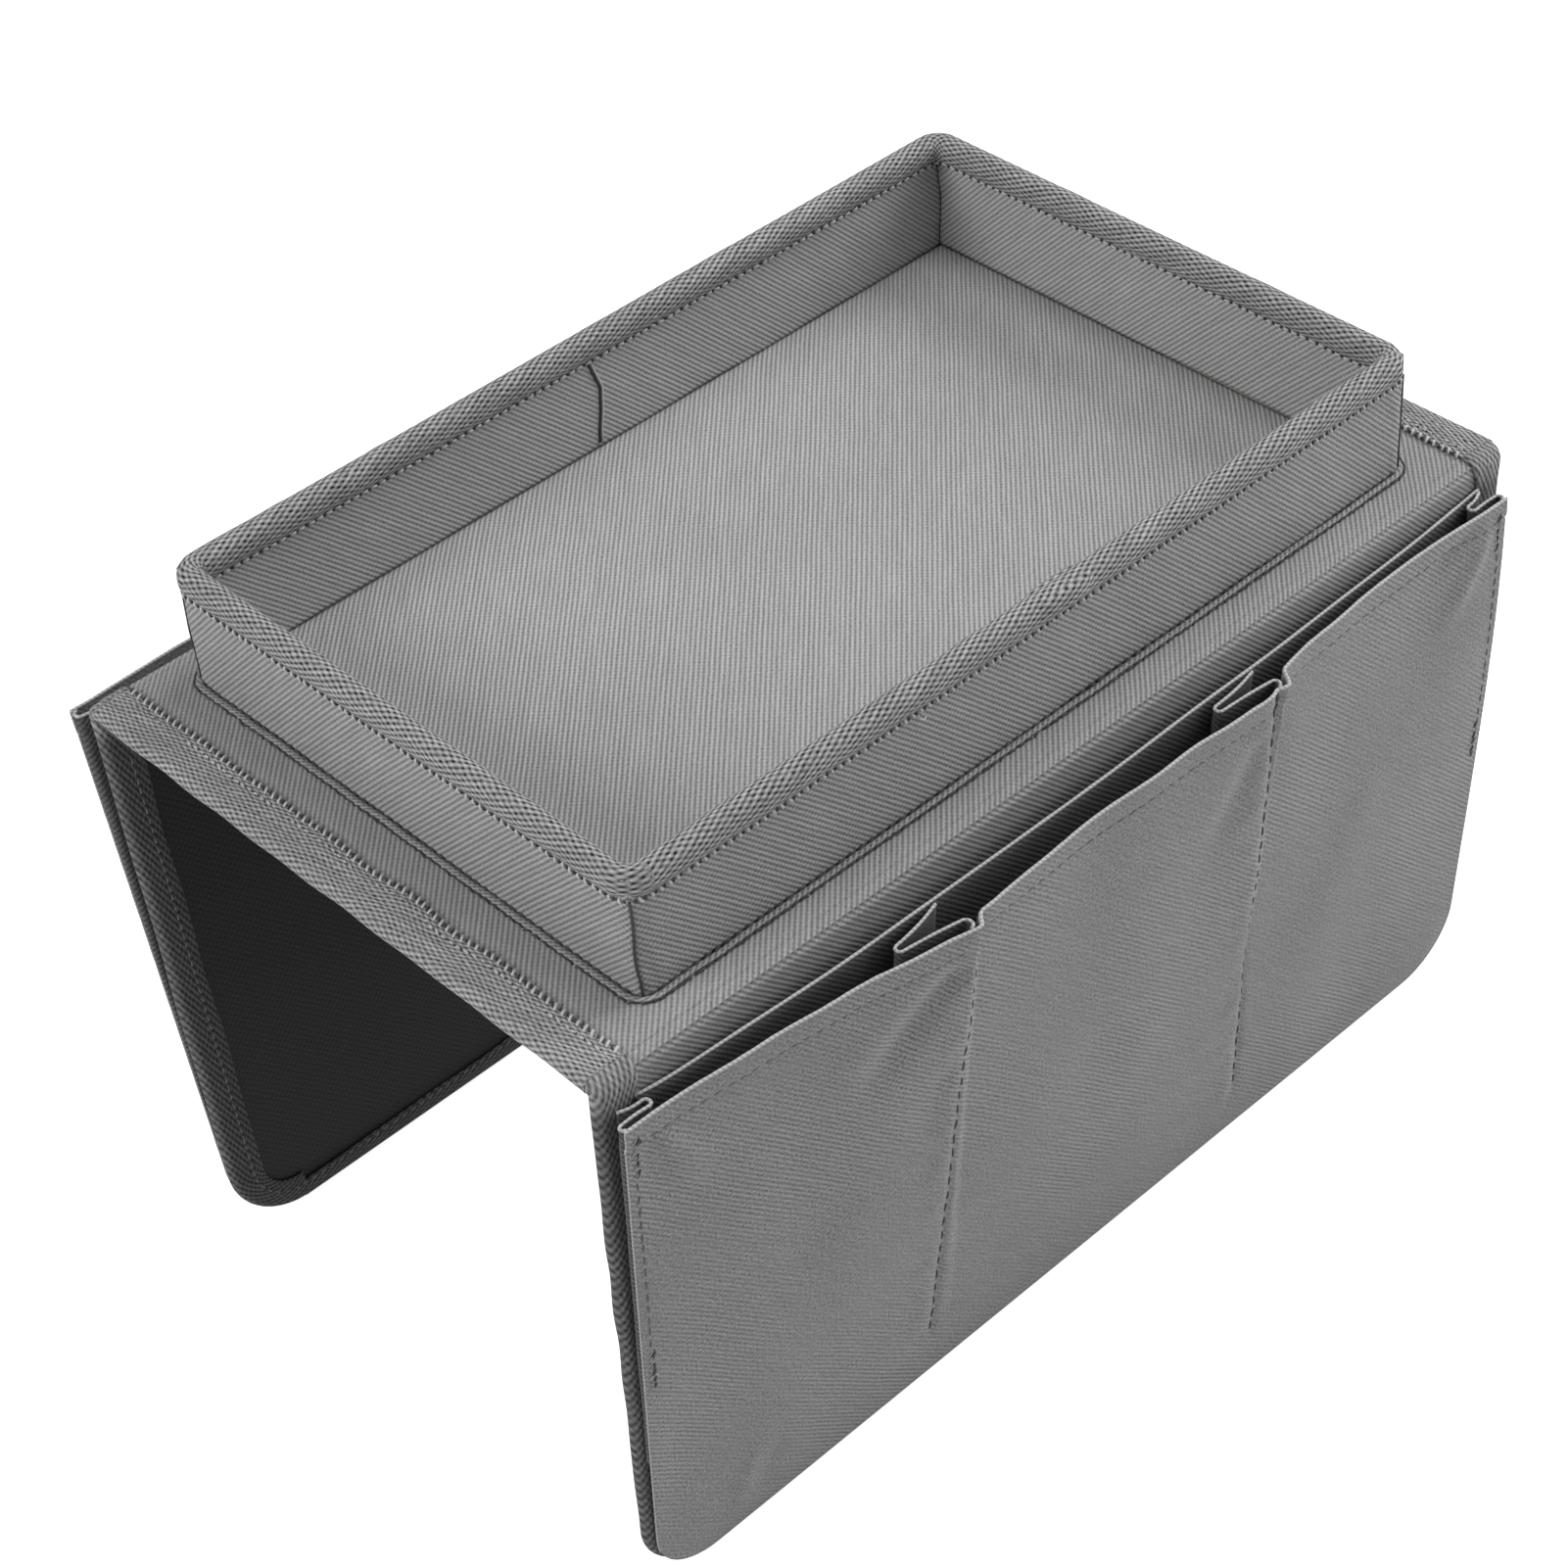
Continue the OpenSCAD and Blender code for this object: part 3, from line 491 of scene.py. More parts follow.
def stitches(path, out, pitch, length, radius, across=False, seed=1, uneven=0.12, slant=0.0,
             shift=0.0):
    """Points of one stitch row, stitch by stitch: centre + d x + s y + out z, with d
    the stitch's direction, s = d x out, and (x, y, z) the arch of thread."""
    distance = measure_along(path)
    count = max(2, int(distance[-1] / pitch))
    draw = np.random.default_rng(seed)
    at = (np.arange(count) + 0.5 + shift) * distance[-1] / count
    step = 0.1
    at = np.clip(at + draw.normal(0, uneven * pitch / 2, count), 2 * step, distance[-1] - 2 * step)
    centre = sample(path, distance, at)
    tangent = unit(sample(path, distance, at + step) - sample(path, distance, at - step))
    up = unit(sample(out, distance, at))
    side = unit(np.cross(tangent, up))
    direction, sideways = (side, tangent) if across else (tangent, side)
    direction = unit(direction + (slant + draw.normal(0, uneven, count)[:, None]) * sideways)
    side = unit(np.cross(direction, up))
    size = draw.uniform(1 - uneven, 1 + uneven, (count, 1, 1, 1))
    x = (RING_PLACES * length / 2)[None, :, None, None] * size
    y = (RING_SIZES[:, None] * np.cos(RING_ANGLES))[None, :, :, None] * radius
    z = (RING_SIZES[:, None] * np.sin(RING_ANGLES) + RING_LIFTS[:, None])[None, :, :, None] * radius
    frames = [v[:, None, None, :] for v in (centre, direction, side, up)]
    return frames[0] + x * frames[1] + y * frames[2] + z * frames[3]


def thread_piece(name, rows, material, body=None, bend=None):
    """All the stitches of some seams as one piece."""
    points = np.concatenate(rows)
    count, rings, around = points.shape[:3]
    corners, _ = quads(rings, around, False, True)
    first = np.arange(around)[None, :]
    caps = np.concatenate([first, (rings - 1) * around + first[:, ::-1]])
    starts = np.arange(count)[:, None, None] * rings * around
    side = (corners[None] + starts).reshape(-1, 4)
    ends = (caps[None] + starts).reshape(-1, around)
    flat = points.reshape(-1, 3)
    spread = np.stack([flat[:, 0] + flat[:, 1], flat[:, 2]], -1) * MM
    piece = make_piece(name, flat, [(side, spread[side], True), (ends, spread[ends], False)])
    return dress(piece, material, body, bend)


# %% [markdown]
# A yarn or a seam that can be followed from end to end is a thin tube along a
# path. Its radius breathes a little. Several tubes can share one piece, so the
# edges of a whole pocket are one object.

# %% Yarns along a path
def yarn(path, out, radius, seed=1, uneven=0.15, around=6):
    """P = path + r (cos q side + sin q up), with side = tangent x out, up = side x
    tangent, and r the radius x (1 + a ripple along the path)."""
    tangent = unit(np.gradient(path, axis=0))
    side = unit(np.cross(tangent, np.broadcast_to(out, path.shape)))
    up = np.cross(side, tangent)
    along = measure_along(path)
    r = radius * (1 + ripple(along, 0 * along, seed, 5, uneven))[:, None, None]
    q = np.arange(around) * 2 * math.pi / around
    return (path[:, None] + r * (np.cos(q)[None, :, None] * side[:, None]
                                 + np.sin(q)[None, :, None] * up[:, None]))


def yarn_piece(name, tubes, material, body=None, bend=None):
    """Tubes joined in one mesh, each closed by flat caps, mapped by their length."""
    points, groups, start = [], [], 0
    for tube in tubes:
        n, m = tube.shape[:2]
        corners, places = quads(n, m, False, True)
        along = np.broadcast_to(measure_along(tube[:, 0])[:, None], (n, m + 1))
        flat = np.stack([along, np.broadcast_to(np.arange(m + 1) * 0.2, (n, m + 1))], -1)
        flat = flat.reshape(-1, 2) * MM
        caps = np.stack([np.arange(m)[::-1], (n - 1) * m + np.arange(m)])
        groups += [(corners + start, flat[places], True),
                   (caps[:, ::-1] + start, flat[caps[:, ::-1] % m], False)]
        points.append(tube.reshape(-1, 3))
        start += n * m
    piece = make_piece(name, np.concatenate(points), groups)
    return dress(piece, material, body, bend)


# %% [markdown]
# ## The top panel
# Sizes that the CAD source and this script share. x runs along the sofa arm, -y
# towards the front, z up, and the origin is the middle of the underside. The
# layers lie on each other: lining, board, cover.

# %% Sizes of the top
HALF_L = 165
LINING_T, BOARD_T, COVER_T, TAPE_T = 0.6, 2.2, 0.8, 0.8
STACK_T = LINING_T + BOARD_T + COVER_T
HINGE_Y = 101 - STACK_T
CLOTH_INSET = 2.0


def end_waver(y, end):
    """The bound ends aren't ruler straight: how far an edge wanders, in mm."""
    return ripple(y, 0 * y, 5 + end, 60, 0.5)


def top_cover():
    """The top cloth: z = stack + a faint swell, dipping to the tapes at its ends."""
    x = np.linspace(CLOTH_INSET - HALF_L, HALF_L - CLOTH_INSET, 160)[:, None]
    y = np.linspace(-HINGE_Y, HINGE_Y, 110)[None, :]
    inside = ease((HALF_L - 10 - np.abs(x)) / 6) * ease((HINGE_Y - np.abs(y)) / 8)
    z = STACK_T + 0.25 * inside + inside * ripple(x, y, 3, 45, 0.35)
    points = np.stack(np.broadcast_arrays(x, y, z), -1)
    return cloth("top_cover_cloth", points, level_map(x, y), COVER_T)


dress(top_cover(), TOP_CLOTH, "top", stands_for=["top_cover"])


def top_lining():
    """The coated lining under the top: a flat sheet, facing down."""
    x = np.linspace(10 - HALF_L, HALF_L - 10, 60)[:, None]
    y = np.linspace(HINGE_Y - 0.3, 0.3 - HINGE_Y, 40)[None, :]
    points = np.stack(np.broadcast_arrays(x, y, 0 * x), -1)
    return cloth("top_lining_cloth", points, level_map(x, y), LINING_T)


dress(top_lining(), LINING_CLOTH, "top", stands_for=["top_lining"])

# %% [markdown]
# ## The flaps' own frame
# Each flap hangs from a fold line and leans a little towards the arm. Its layers
# are easiest to place in a frame of its own: x along the arm, y outwards from
# the lining, z up from the fold line. One function turns that frame into the
# object's, for the front (side -1) and for the rear (side 1).

# %% Placing things on a flap
LEANS = {-1: math.radians(2), 1: math.radians(4)}
FLAP_BODY = {-1: "front_flap", 1: "rear_flap"}
FLAP_FOOT_Z = STACK_T - 195
CORNER_R = 22
CORNER_Z = FLAP_FOOT_Z + CORNER_R
MOUTH_Z = STACK_T - 8.5
FLAP_H = MOUTH_Z - FLAP_FOOT_Z
SIDE_NAMES = {-1: "front", 1: "rear"}


def on_flap(side, x, y, z):
    """Row-frame points: Y = side (hinge + y cos lean + z sin lean), Z = z cos lean
    - y sin lean."""
    lean = LEANS[side]
    row_y = side * (HINGE_Y + y * math.cos(lean) + z * math.sin(lean))
    row_z = z * math.cos(lean) - y * math.sin(lean)
    return np.stack(np.broadcast_arrays(x, row_y, row_z), -1)


def facing(points, side):
    """On the rear flap the grid is mirrored, so its columns are turned round to
    keep the outer face outside."""
    return points if side < 0 else points[::-1]


def fold_bend(side):
    """The top and the flap, with a place on each beside the fold line, for cloth that crosses the fold."""
    top_edge = (0, side * HINGE_Y, STACK_T)
    flap_edge = tuple(on_flap(side, 0, STACK_T, 0))
    return ("top", FLAP_BODY[side], top_edge, flap_edge)


# %% [markdown]
# The outer cloth bends over the fold and goes on down the flap behind the
# pockets. It is one sheet here: a quarter turn about the fold line, then
# straight. A crease line shows halfway round, where the cloth was ironed.

# %% Outer cloth over the folds and down the flaps
def flap_half(z, inset):
    """Half width of a flap's layer at height z: straight, then a round corner."""
    drop = np.clip(CORNER_Z - z, 0, CORNER_R - inset)
    return HALF_L - CORNER_R + np.sqrt(np.maximum((CORNER_R - inset) ** 2 - drop ** 2, 0))


def flap_rows(foot_inset):
    """Distances down a flap's outer face, close together round the corner."""
    round_corner = CORNER_Z - (CORNER_Z - FLAP_FOOT_Z - foot_inset) * np.sin(np.linspace(0, math.pi / 2, 14))
    return np.concatenate([np.linspace(-0.3, CORNER_Z, 60)[:-1], round_corner])


def flap_cover(side):
    """Angle q from the top's normal to the flap's: (y, z) = r (sin, cos), then
    straight down to the foot."""
    turn_angle = math.pi / 2 + LEANS[side]
    crease_q = 0.8
    q = np.concatenate([np.linspace(0, crease_q, 12), np.linspace(crease_q + 0.02, turn_angle, 14)])
    ridge = 0.4 * hill(q, crease_q, 0.09) - 0.2 * hill(q, crease_q + 0.3, 0.15)
    arc_y = (STACK_T + ridge) * np.cos(turn_angle - q)
    arc_z = (STACK_T + ridge) * np.sin(turn_angle - q)
    down = flap_rows(CLOTH_INSET)
    y = np.concatenate([arc_y, np.full(len(down), STACK_T)])[None, :]
    z = np.concatenate([arc_z, down])[None, :]
    share = np.linspace(-1, 1, 150)[:, None]
    x = share * np.where(z > CORNER_Z, HALF_L - CLOTH_INSET, flap_half(z, CLOTH_INSET))
    run = np.concatenate([q * STACK_T, turn_angle * STACK_T - down])[None, :]
    points = on_flap(side, x, y + 0 * x, z + 0 * x)[:, ::-1]
    before_crease = np.arange(run.shape[1]) < 12
    turned = np.where(before_crease, HINGE_Y + run, -run)
    flat = level_map(x, side * turned)[:, ::-1]
    if side > 0:
        points, flat = points[::-1], flat[::-1]
    return cloth(SIDE_NAMES[side] + "_flap_cloth", points, flat, COVER_T)


for side in (-1, 1):
    dress(flap_cover(side), TOP_CLOTH, bend=fold_bend(side),
          stands_for=[f"{SIDE_NAMES[side]}_fold_cloth", f"{SIDE_NAMES[side]}_flap_cover"])


def flap_lining(side):
    """The flap's coated lining, facing the arm: a flat sheet with round corners."""
    z = flap_rows(CLOTH_INSET)[None, :]
    share = np.linspace(-1, 1, 60)[:, None]
    x = share * flap_half(z, CLOTH_INSET)
    sag = ripple(x, z, 11 + side, 70, 0.3) * ease((1 - np.abs(share)) * 8)
    points = on_flap(side, x, sag + 0.0, z + 0 * x)
    flat = level_map(x, z + 0 * x)
    if side > 0:
        points, flat = points[::-1], flat[::-1]
    return cloth(SIDE_NAMES[side] + "_lining_cloth", points, flat, LINING_T)


for side in (-1, 1):
    dress(flap_lining(side), LINING_CLOTH, FLAP_BODY[side],
          stands_for=[f"{SIDE_NAMES[side]}_flap_lining"])

# %% [markdown]
# ## The tray
# Four walls stand on the top panel. Each is a board between two cloths, and the
# cloths of neighbouring walls are sewn together at the corners, which leaves an
# upright, slightly wandering crease there. A wall is a grid with the distance
# along the wall and the height as its parameters, pushed in or out by soft
# unevenness and drawn in to the corner seam at both ends.

# %% The walls' places
TRAY_L, TRAY_W, WALL_T = 277, 175, 3.6
WALL_TOP_Z, RIM_TOP_Z = 41.0, 42.6
FLOOR_TOP_Z = STACK_T + 1.6 + COVER_T
# Direction along each wall, direction out of the tray, half length and distance
WALLS = {"front": ((1, 0), (0, -1), TRAY_L / 2, TRAY_W / 2),
         "right": ((0, 1), (1, 0), TRAY_W / 2, TRAY_L / 2),
         "rear": ((-1, 0), (0, 1), TRAY_L / 2, TRAY_W / 2),
         "left": ((0, -1), (-1, 0), TRAY_W / 2, TRAY_L / 2)}


def wall_grid(side, inset, z, columns, pull, seed):
    """P = along s + out d, with d = distance - inset + unevenness - pull at the
    corner seams, whose line wanders a little with the height."""
    along, out, half, distance = (np.array(v, float) for v in WALLS[side])
    s = np.sin(np.linspace(-math.pi / 2, math.pi / 2, columns))[:, None]
    s = mix(s, np.linspace(-1, 1, columns)[:, None], 0.6) * (half - inset - pull)
    z = z[None, :]
    to_end = half - inset - pull - np.abs(s)
    calm = ease(to_end / 8)
    swell = calm * ripple(s, z, seed, 70, 0.5) + hill(to_end, 3, 2.5) * ripple(z, 2 * s, seed, 9, 0.35)
    depth = distance - inset - pull * np.exp(-to_end / 1.6) + swell
    x = along[0] * s + out[0] * depth
    y = along[1] * s + out[1] * depth
    corner_x, corner_y = np.sign(x), np.sign(y)
    wander = np.exp(-to_end / 2.0) * ripple(z, 0 * z + 40 * corner_x + 9 * corner_y, 17, 16, 0.9)
    x = x - corner_y * wander * 0.7
    y = y + corner_x * wander * 0.7
    points = np.stack(np.broadcast_arrays(x, y, z), -1)
    return points, level_map(x if side in ("front", "rear") else y, -z)


def wall_cover(side):
    """Outer cloth of one wall, from the foot seam to under the rim tape."""
    z = np.linspace(STACK_T + 0.5, WALL_TOP_Z, 46)
    points, flat = wall_grid(side, 0, z, 180 if side in ("front", "rear") else 120, 0.9, 21 + len(side))
    return cloth(f"tray_{side}_wall_cloth", points, flat, COVER_T)


def wall_lining(side):
    """Inner cloth of one wall: the same grid, turned to face the tray."""
    z = np.linspace(FLOOR_TOP_Z - 0.6, WALL_TOP_Z, 40)
    points, flat = wall_grid(side, WALL_T, z, 140, -0.2, 31 + len(side))
    return cloth(f"tray_{side}_inner_cloth", points[::-1], flat[::-1], COVER_T)


for side, (_, _, half, _) in WALLS.items():
    dress(wall_cover(side), WALL_CLOTH, "top",
          stands_for=["tray_wall_cover"] if side == "front" else [])
    # The inner walls' lighter cloth is painted light.
    dress(wall_lining(side), INNER_CLOTH, "top",
          stands_for=["tray_wall_lining"] if side == "front" else [])

# %% [markdown]
# The floor cloth lies on its board and dips a little into the seam all round,
# where it meets the walls. That narrow dip catches the dark line that the
# photograph shows there.

# %% The tray's floor
FLOOR_L, FLOOR_W = TRAY_L - 2 * WALL_T, TRAY_W - 2 * WALL_T


def tray_floor():
    """z = floor + soft swell, less a dip of 0.8 mm in the last 2 mm at the edges."""
    x = FLOOR_L / 2 * np.linspace(-1, 1, 200)[:, None]
    y = FLOOR_W / 2 * np.linspace(-1, 1, 130)[None, :]
    to_edge = np.minimum(FLOOR_L / 2 - np.abs(x), FLOOR_W / 2 - np.abs(y))
    dip = 0.8 * np.exp(-to_edge / 1.2)
    z = FLOOR_TOP_Z + ease(to_edge / 14) * (0.5 + ripple(x, y, 8, 80, 0.8)) - dip
    points = np.stack(np.broadcast_arrays(x, y, z), -1)
    return cloth("tray_floor_cloth", points, level_map(x, y), COVER_T)


# The floor's lighter cloth is painted light.
dress(tray_floor(), INNER_CLOTH, "top", stands_for=["tray_floor_cover"])

# %% [markdown]
# ## The rim
# Bias tape is folded over the top of the walls and sewn through, so it puffs up
# into a soft roll. The roll is a section carried round the tray: the section is
# a closed curve, and the path is a rounded rectangle, given by its corner
# centres and the direction in which it faces.

# %% A path round the tray
def round_path(length, width, radius, straight, corner):
    """Points, outward directions and distances of a rounded rectangle, counter-
    clockwise from the front's left end: corner centre + radius (cos q, sin q)."""
    places, outs = [], []
    for k, (sx, sy) in enumerate(((1, -1), (1, 1), (-1, 1), (-1, -1))):
        q = (k - 1 + np.linspace(0, 1, corner)) * math.pi / 2
        centre = np.array([sx * (length / 2 - radius), sy * (width / 2 - radius)])
        turn_out = np.stack([np.cos(q), np.sin(q)], -1)
        before = np.array([-math.sin(q[0]), math.cos(q[0])])
        run = (length if k % 2 == 0 else width) - 2 * radius
        steps = np.linspace(run, 0, straight + 1)[:-1, None]
        start = centre + radius * turn_out[0]
        places.append(start - steps * before)
        outs.append(np.repeat(turn_out[:1], straight, 0))
        places.append(centre + radius * turn_out[:-1])
        outs.append(turn_out[:-1])
    places, outs = np.concatenate(places), np.concatenate(outs)
    loop = np.concatenate([places, places[:1]])
    return places, outs, measure_along(loop)


RIM_FOOT_Z = 34.9
RIM_HALF_W = 3.4


def rim_section():
    """Half width w and height z round the roll, from its outer lower edge over the
    crown to the inner lower edge, and back along the wall inside."""
    q = np.linspace(0, math.pi, 17)
    crown_w = RIM_HALF_W * np.cos(q) * (1 + 0.05 * np.sin(2 * q) ** 2)
    crown_z = mix(WALL_TOP_Z - 2.4, RIM_TOP_Z, np.sin(q))
    side_z = np.linspace(0, 1, 6)[:-1]
    side_w = mix(2.5, RIM_HALF_W, ease(side_z * 1.5))
    side_z = mix(RIM_FOOT_Z, WALL_TOP_Z - 2.4, side_z)
    back_w = np.array([-1.9, -1.85, -1.8, 1.8, 1.85, 1.9])
    back_z = np.array([RIM_FOOT_Z - 0.1, 37.5, WALL_TOP_Z, WALL_TOP_Z, 37.5, RIM_FOOT_Z - 0.1])
    return (np.concatenate([side_w, crown_w, -side_w[::-1], back_w]),
            np.concatenate([side_z, crown_z, side_z[::-1], back_z]))


def rim_roll():
    """P = path + w out, z. The roll breathes: it swells and sags by up to 0.5 mm,
    and it is fuller where the tape's two ends overlap on the front side."""
    places, outs, distance = round_path(TRAY_L - WALL_T, TRAY_W - WALL_T, 5.0, 150, 15)
    w, z = rim_section()
    outer = np.abs(w) > 2.2
    around = distance[:-1, None]
    total = distance[-1]
    turn_x = np.cos(2 * math.pi * around / total) * total / 6
    turn_y = np.sin(2 * math.pi * around / total) * total / 6
    swell = ripple(turn_x, turn_y + 7 * np.sign(w), 41, 22, 0.45) + ripple(turn_x, turn_y, 42, 60, 0.3)
    overlap = ease((places[:, :1] + 3) / 2) * ease((14 - places[:, :1]) / 2) * (outs[:, 1:] < -0.9)
    swell = swell + 0.7 * overlap
    crown = ease((z - RIM_FOOT_Z) / 3)[None, :]
    w = w[None, :] + np.sign(w) * outer * crown * swell
    z = z[None, :] + outer * (crown * 0.5 * (swell - 0.15) + (1 - crown) * ripple(turn_x, turn_y, 43, 26, 0.45))
    points = np.stack([places[:, :1] + w * outs[:, :1], places[:, 1:] + w * outs[:, 1:], z], -1)
    across = np.concatenate([measure_along(np.stack(rim_section(), -1)), [0]])
    across[-1] = across[-2] + 0.7
    flat = tape_map(distance[:, None], across[None, :])
    return roll("tray_rim_roll", points, flat), points


rim_piece, rim_points = rim_roll()
dress(rim_piece, RIM_CLOTH, "top", stands_for=["tray_rim_tape"])

# %% [markdown]
# The walls are sewn to the top through a narrow strip that is turned outwards at their foot. From above it reads as
# a pale cord between two dark lines: the cord is its folded edge, and the dark lines are the groove where the
# stitches pull it down and the cord's shadow, both painted as shade by rows of dark thread.

# %% The seam at the tray's foot
def foot_seam():
    """A low, round ridge carried round the tray's foot, higher at its outer edge."""
    places, outs, distance = round_path(TRAY_L, TRAY_W, 5.0, 150, 13)
    q = np.linspace(0, 2 * math.pi, 13)[:-1]
    w = 1.25 + 1.15 * np.cos(q)
    z = STACK_T + 0.55 + 0.5 * np.sin(q) + 0.25 * np.cos(q)
    waver = ripple(places[:, :1], places[:, 1:], 51, 18, 0.5)
    w = w[None, :] + waver
    z = z[None, :] + 0.3 * waver
    points = np.stack([places[:, :1] + w * outs[:, :1], places[:, 1:] + w * outs[:, 1:], z], -1)
    flat = level_map(distance[:, None], np.arange(13)[None, :] * 0.55)
    return roll("tray_foot_seam", points, flat)


dress(foot_seam(), WALL_CLOTH, "top")

# %% [markdown]
# Two kinds of stitches hold the tray together. A tight row runs along the lower edge of the rim tape, outside and
# inside, with a dark needle hole beside every stitch: a blob of dark thread, painted shade in the hole. Looser rows
# of dark thread lie at the tray's foot, one in the groove and one just outside the cord; their darkness is painted
# shade of the groove and the cord's painted shadow line.

# %% Stitches on the tray
def ring_rows(long_side, short_side, corner_r, lift, z, wave_seed, **sizes):
    """A closed stitch row on an upright face, at that height."""
    places, outs, _ = round_path(long_side, short_side, corner_r, 60, 10)
    places, outs = np.concatenate([places, places[:1]]), np.concatenate([outs, outs[:1]])
    height = z + ripple(places[:, :1], places[:, 1:], wave_seed, 26, 0.3)
    path = np.concatenate([places + lift * outs, height], -1)
    out = np.concatenate([outs, 0 * height], -1)
    return stitches(path, out * (1 if lift > 0 else -1), **sizes)


outer_rim = (TRAY_L, TRAY_W, 6.0, 0.65, RIM_FOOT_Z - 0.5, 43)
inner_rim = (TRAY_L - 2 * WALL_T, TRAY_W - 2 * WALL_T, 3.0, -0.65, RIM_FOOT_Z - 0.5, 43)
thread_piece("rim_stitches",
             [ring_rows(*outer_rim, pitch=2.7, length=1.9, radius=0.42, seed=2, across=True,
                        slant=0.5, shift=-0.28),
              ring_rows(*inner_rim, pitch=3.0, length=2.1, radius=0.34, seed=3)],
             LIGHT_THREAD, "top")
# Needle holes: blobs of dark thread, painted shade in the holes.
thread_piece("rim_needle_holes",
             [ring_rows(*outer_rim[:4], RIM_FOOT_Z - 0.3, 43, pitch=2.7, length=1.5, radius=0.38,
                        across=True, seed=2, shift=0.14),
              ring_rows(*inner_rim[:4], RIM_FOOT_Z - 0.6, 43, pitch=3.0, length=1.0, radius=0.38,
                        seed=3, shift=0.5)],
             DARK_THREAD_AND_SHADE, "top")


def foot_row(lift, **sizes):
    """A closed stitch row lying on the top panel beside the tray's foot."""
    places, outs, _ = round_path(TRAY_L, TRAY_W, 5.0, 60, 10)
    places, outs = np.concatenate([places, places[:1]]), np.concatenate([outs, outs[:1]])
    path = np.concatenate([places + lift * outs, np.full((len(places), 1), STACK_T + 0.75)], -1)
    return stitches(path, np.broadcast_to([0, 0, 1.0], path.shape), **sizes)


# Painted shade: the inner row darkens the groove, and the outer row, just outside the cord, is the cord's painted
# shadow line.
thread_piece("foot_groove_stitches_and_shadow",
             [foot_row(0.25, pitch=3.4, length=2.9, radius=0.38, seed=5),
              foot_row(2.75, pitch=3.1, length=2.9, radius=0.3, seed=6)],
             DARK_THREAD_AND_SHADE, "top")

# %% [markdown]
# ## Bound edges
# Every raw edge is bound with bias tape: a strip folded round the edge and sewn
# through. On the top panel's ends its inner leg is pressed flush with the
# lining. The section of a tape is a curve from its outer leg's edge, round the
# edge, to its inner leg's edge, and the tape is that curve carried along.

# %% The tape on the top panel's ends
TOP_LEG = 12.4


def top_leg(y, end):
    """Width of the end tape's upper leg, which wanders by a millimetre."""
    return TOP_LEG + ripple(y, 0 * y, 61 + end, 30, 1.0)


def end_tape(end):
    """Section: distance e in from the edge and height h, over the stack and under."""
    y = np.linspace(-HINGE_Y, HINGE_Y, 220)[:, None]
    leg = top_leg(y, end)
    q = np.linspace(0, math.pi, 15)[None, :]
    middle, half_h = (STACK_T + TAPE_T) / 2, (STACK_T + TAPE_T) / 2
    round_e = 2.2 - 2.2 * np.sin(q) + 0 * y
    round_h = middle + half_h * np.cos(q) + 0 * y
    over = np.linspace(1, 0, 16)[None, :-1]
    over_e = 2.2 + (leg - 2.2) * over
    puff = 0.35 * np.sin(math.pi * over) - 0.3 * hill(over_e, 6.2 + ripple(y, 0 * y, 64, 40, 1.2), 0.5)
    puff = puff + ripple(y, 20 * over, 63 + end, 14, 0.5) * ease(4 * over * (1 - over))
    over_h = STACK_T + TAPE_T + puff - 0.25 * hill(over, 1, 0.06)
    under = np.linspace(0, 1, 8)[None, 1:]
    under_e = 2.2 + (9.8 - 2.2) * under + 0 * y
    e = np.concatenate([over_e, round_e, under_e], 1)
    h = np.concatenate([over_h, round_h, 0 * under_e], 1)
    e = e + ripple(y, 3 * h, 65 + end, 34, 0.5) * ease(1 - e / 8) - 0.2
    points = np.stack(np.broadcast_arrays(end * (HALF_L - e), y, h), -1)
    across = np.concatenate([leg * (1 - over), leg + half_h * q + 0 * y, leg + 6.9 + 7.6 * under + 0 * y], 1)
    flat = tape_map(y + 0 * e, across)
    if end > 0:
        points, flat = points[::-1], flat[::-1]
    return cloth(("left" if end < 0 else "right") + "_end_binding", points, flat, TAPE_T * 0.75)


for end in (-1, 1):
    side_word = "left" if end < 0 else "right"
    dress(end_tape(end), TAPE_CLOTH, "top", stands_for=[f"{side_word}_end_tape"])

# %% [markdown]
# On the flaps the tape goes on from the fold: a quarter turn about the fold line, down the side edge, and round the
# bottom corner. In the fold there is no room for an inner leg, so it shrinks to nothing there.

# %% The tape on the flaps' sides
SIDE_LEG = 10.0


def tape_section(inner_leg, outer_leg):
    """Distance e from the edge and height h above the lining, from the outer leg's
    edge to the inner leg's edge. The legs are grids, one row for each station."""
    over = np.linspace(1, 0, 9)[None, :-1]
    q = np.linspace(0, math.pi, 13)[None, :]
    under = np.linspace(0, 1, 8)[None, 1:]
    top_h, low_h = STACK_T + TAPE_T, -TAPE_T
    e = np.concatenate([2.4 + (outer_leg - 2.4) * over, 2.4 - 2.4 * np.sin(q) + 0 * outer_leg,
                        2.4 + np.maximum(inner_leg - 2.4, 0.1) * under], 1)
    h = np.concatenate([top_h + 0.25 * np.sin(math.pi * over) + 0 * outer_leg,
                        mix(low_h, top_h, (1 + np.cos(q)) / 2) + 0 * outer_leg,
                        low_h - 0.3 * np.sin(math.pi * under) + 0 * inner_leg], 1)
    return e, h


def side_leg(run, side, end):
    """Width of a side tape's legs, run mm down from the fold. It starts as wide as
    the end tape is there, because both are one tape."""
    waver = ripple(run, 0 * run, 70 + 3 * side + end, 40, 0.8)
    return mix(top_leg(side * HINGE_Y + 0 * run, end), SIDE_LEG + waver, ease(run / 22))


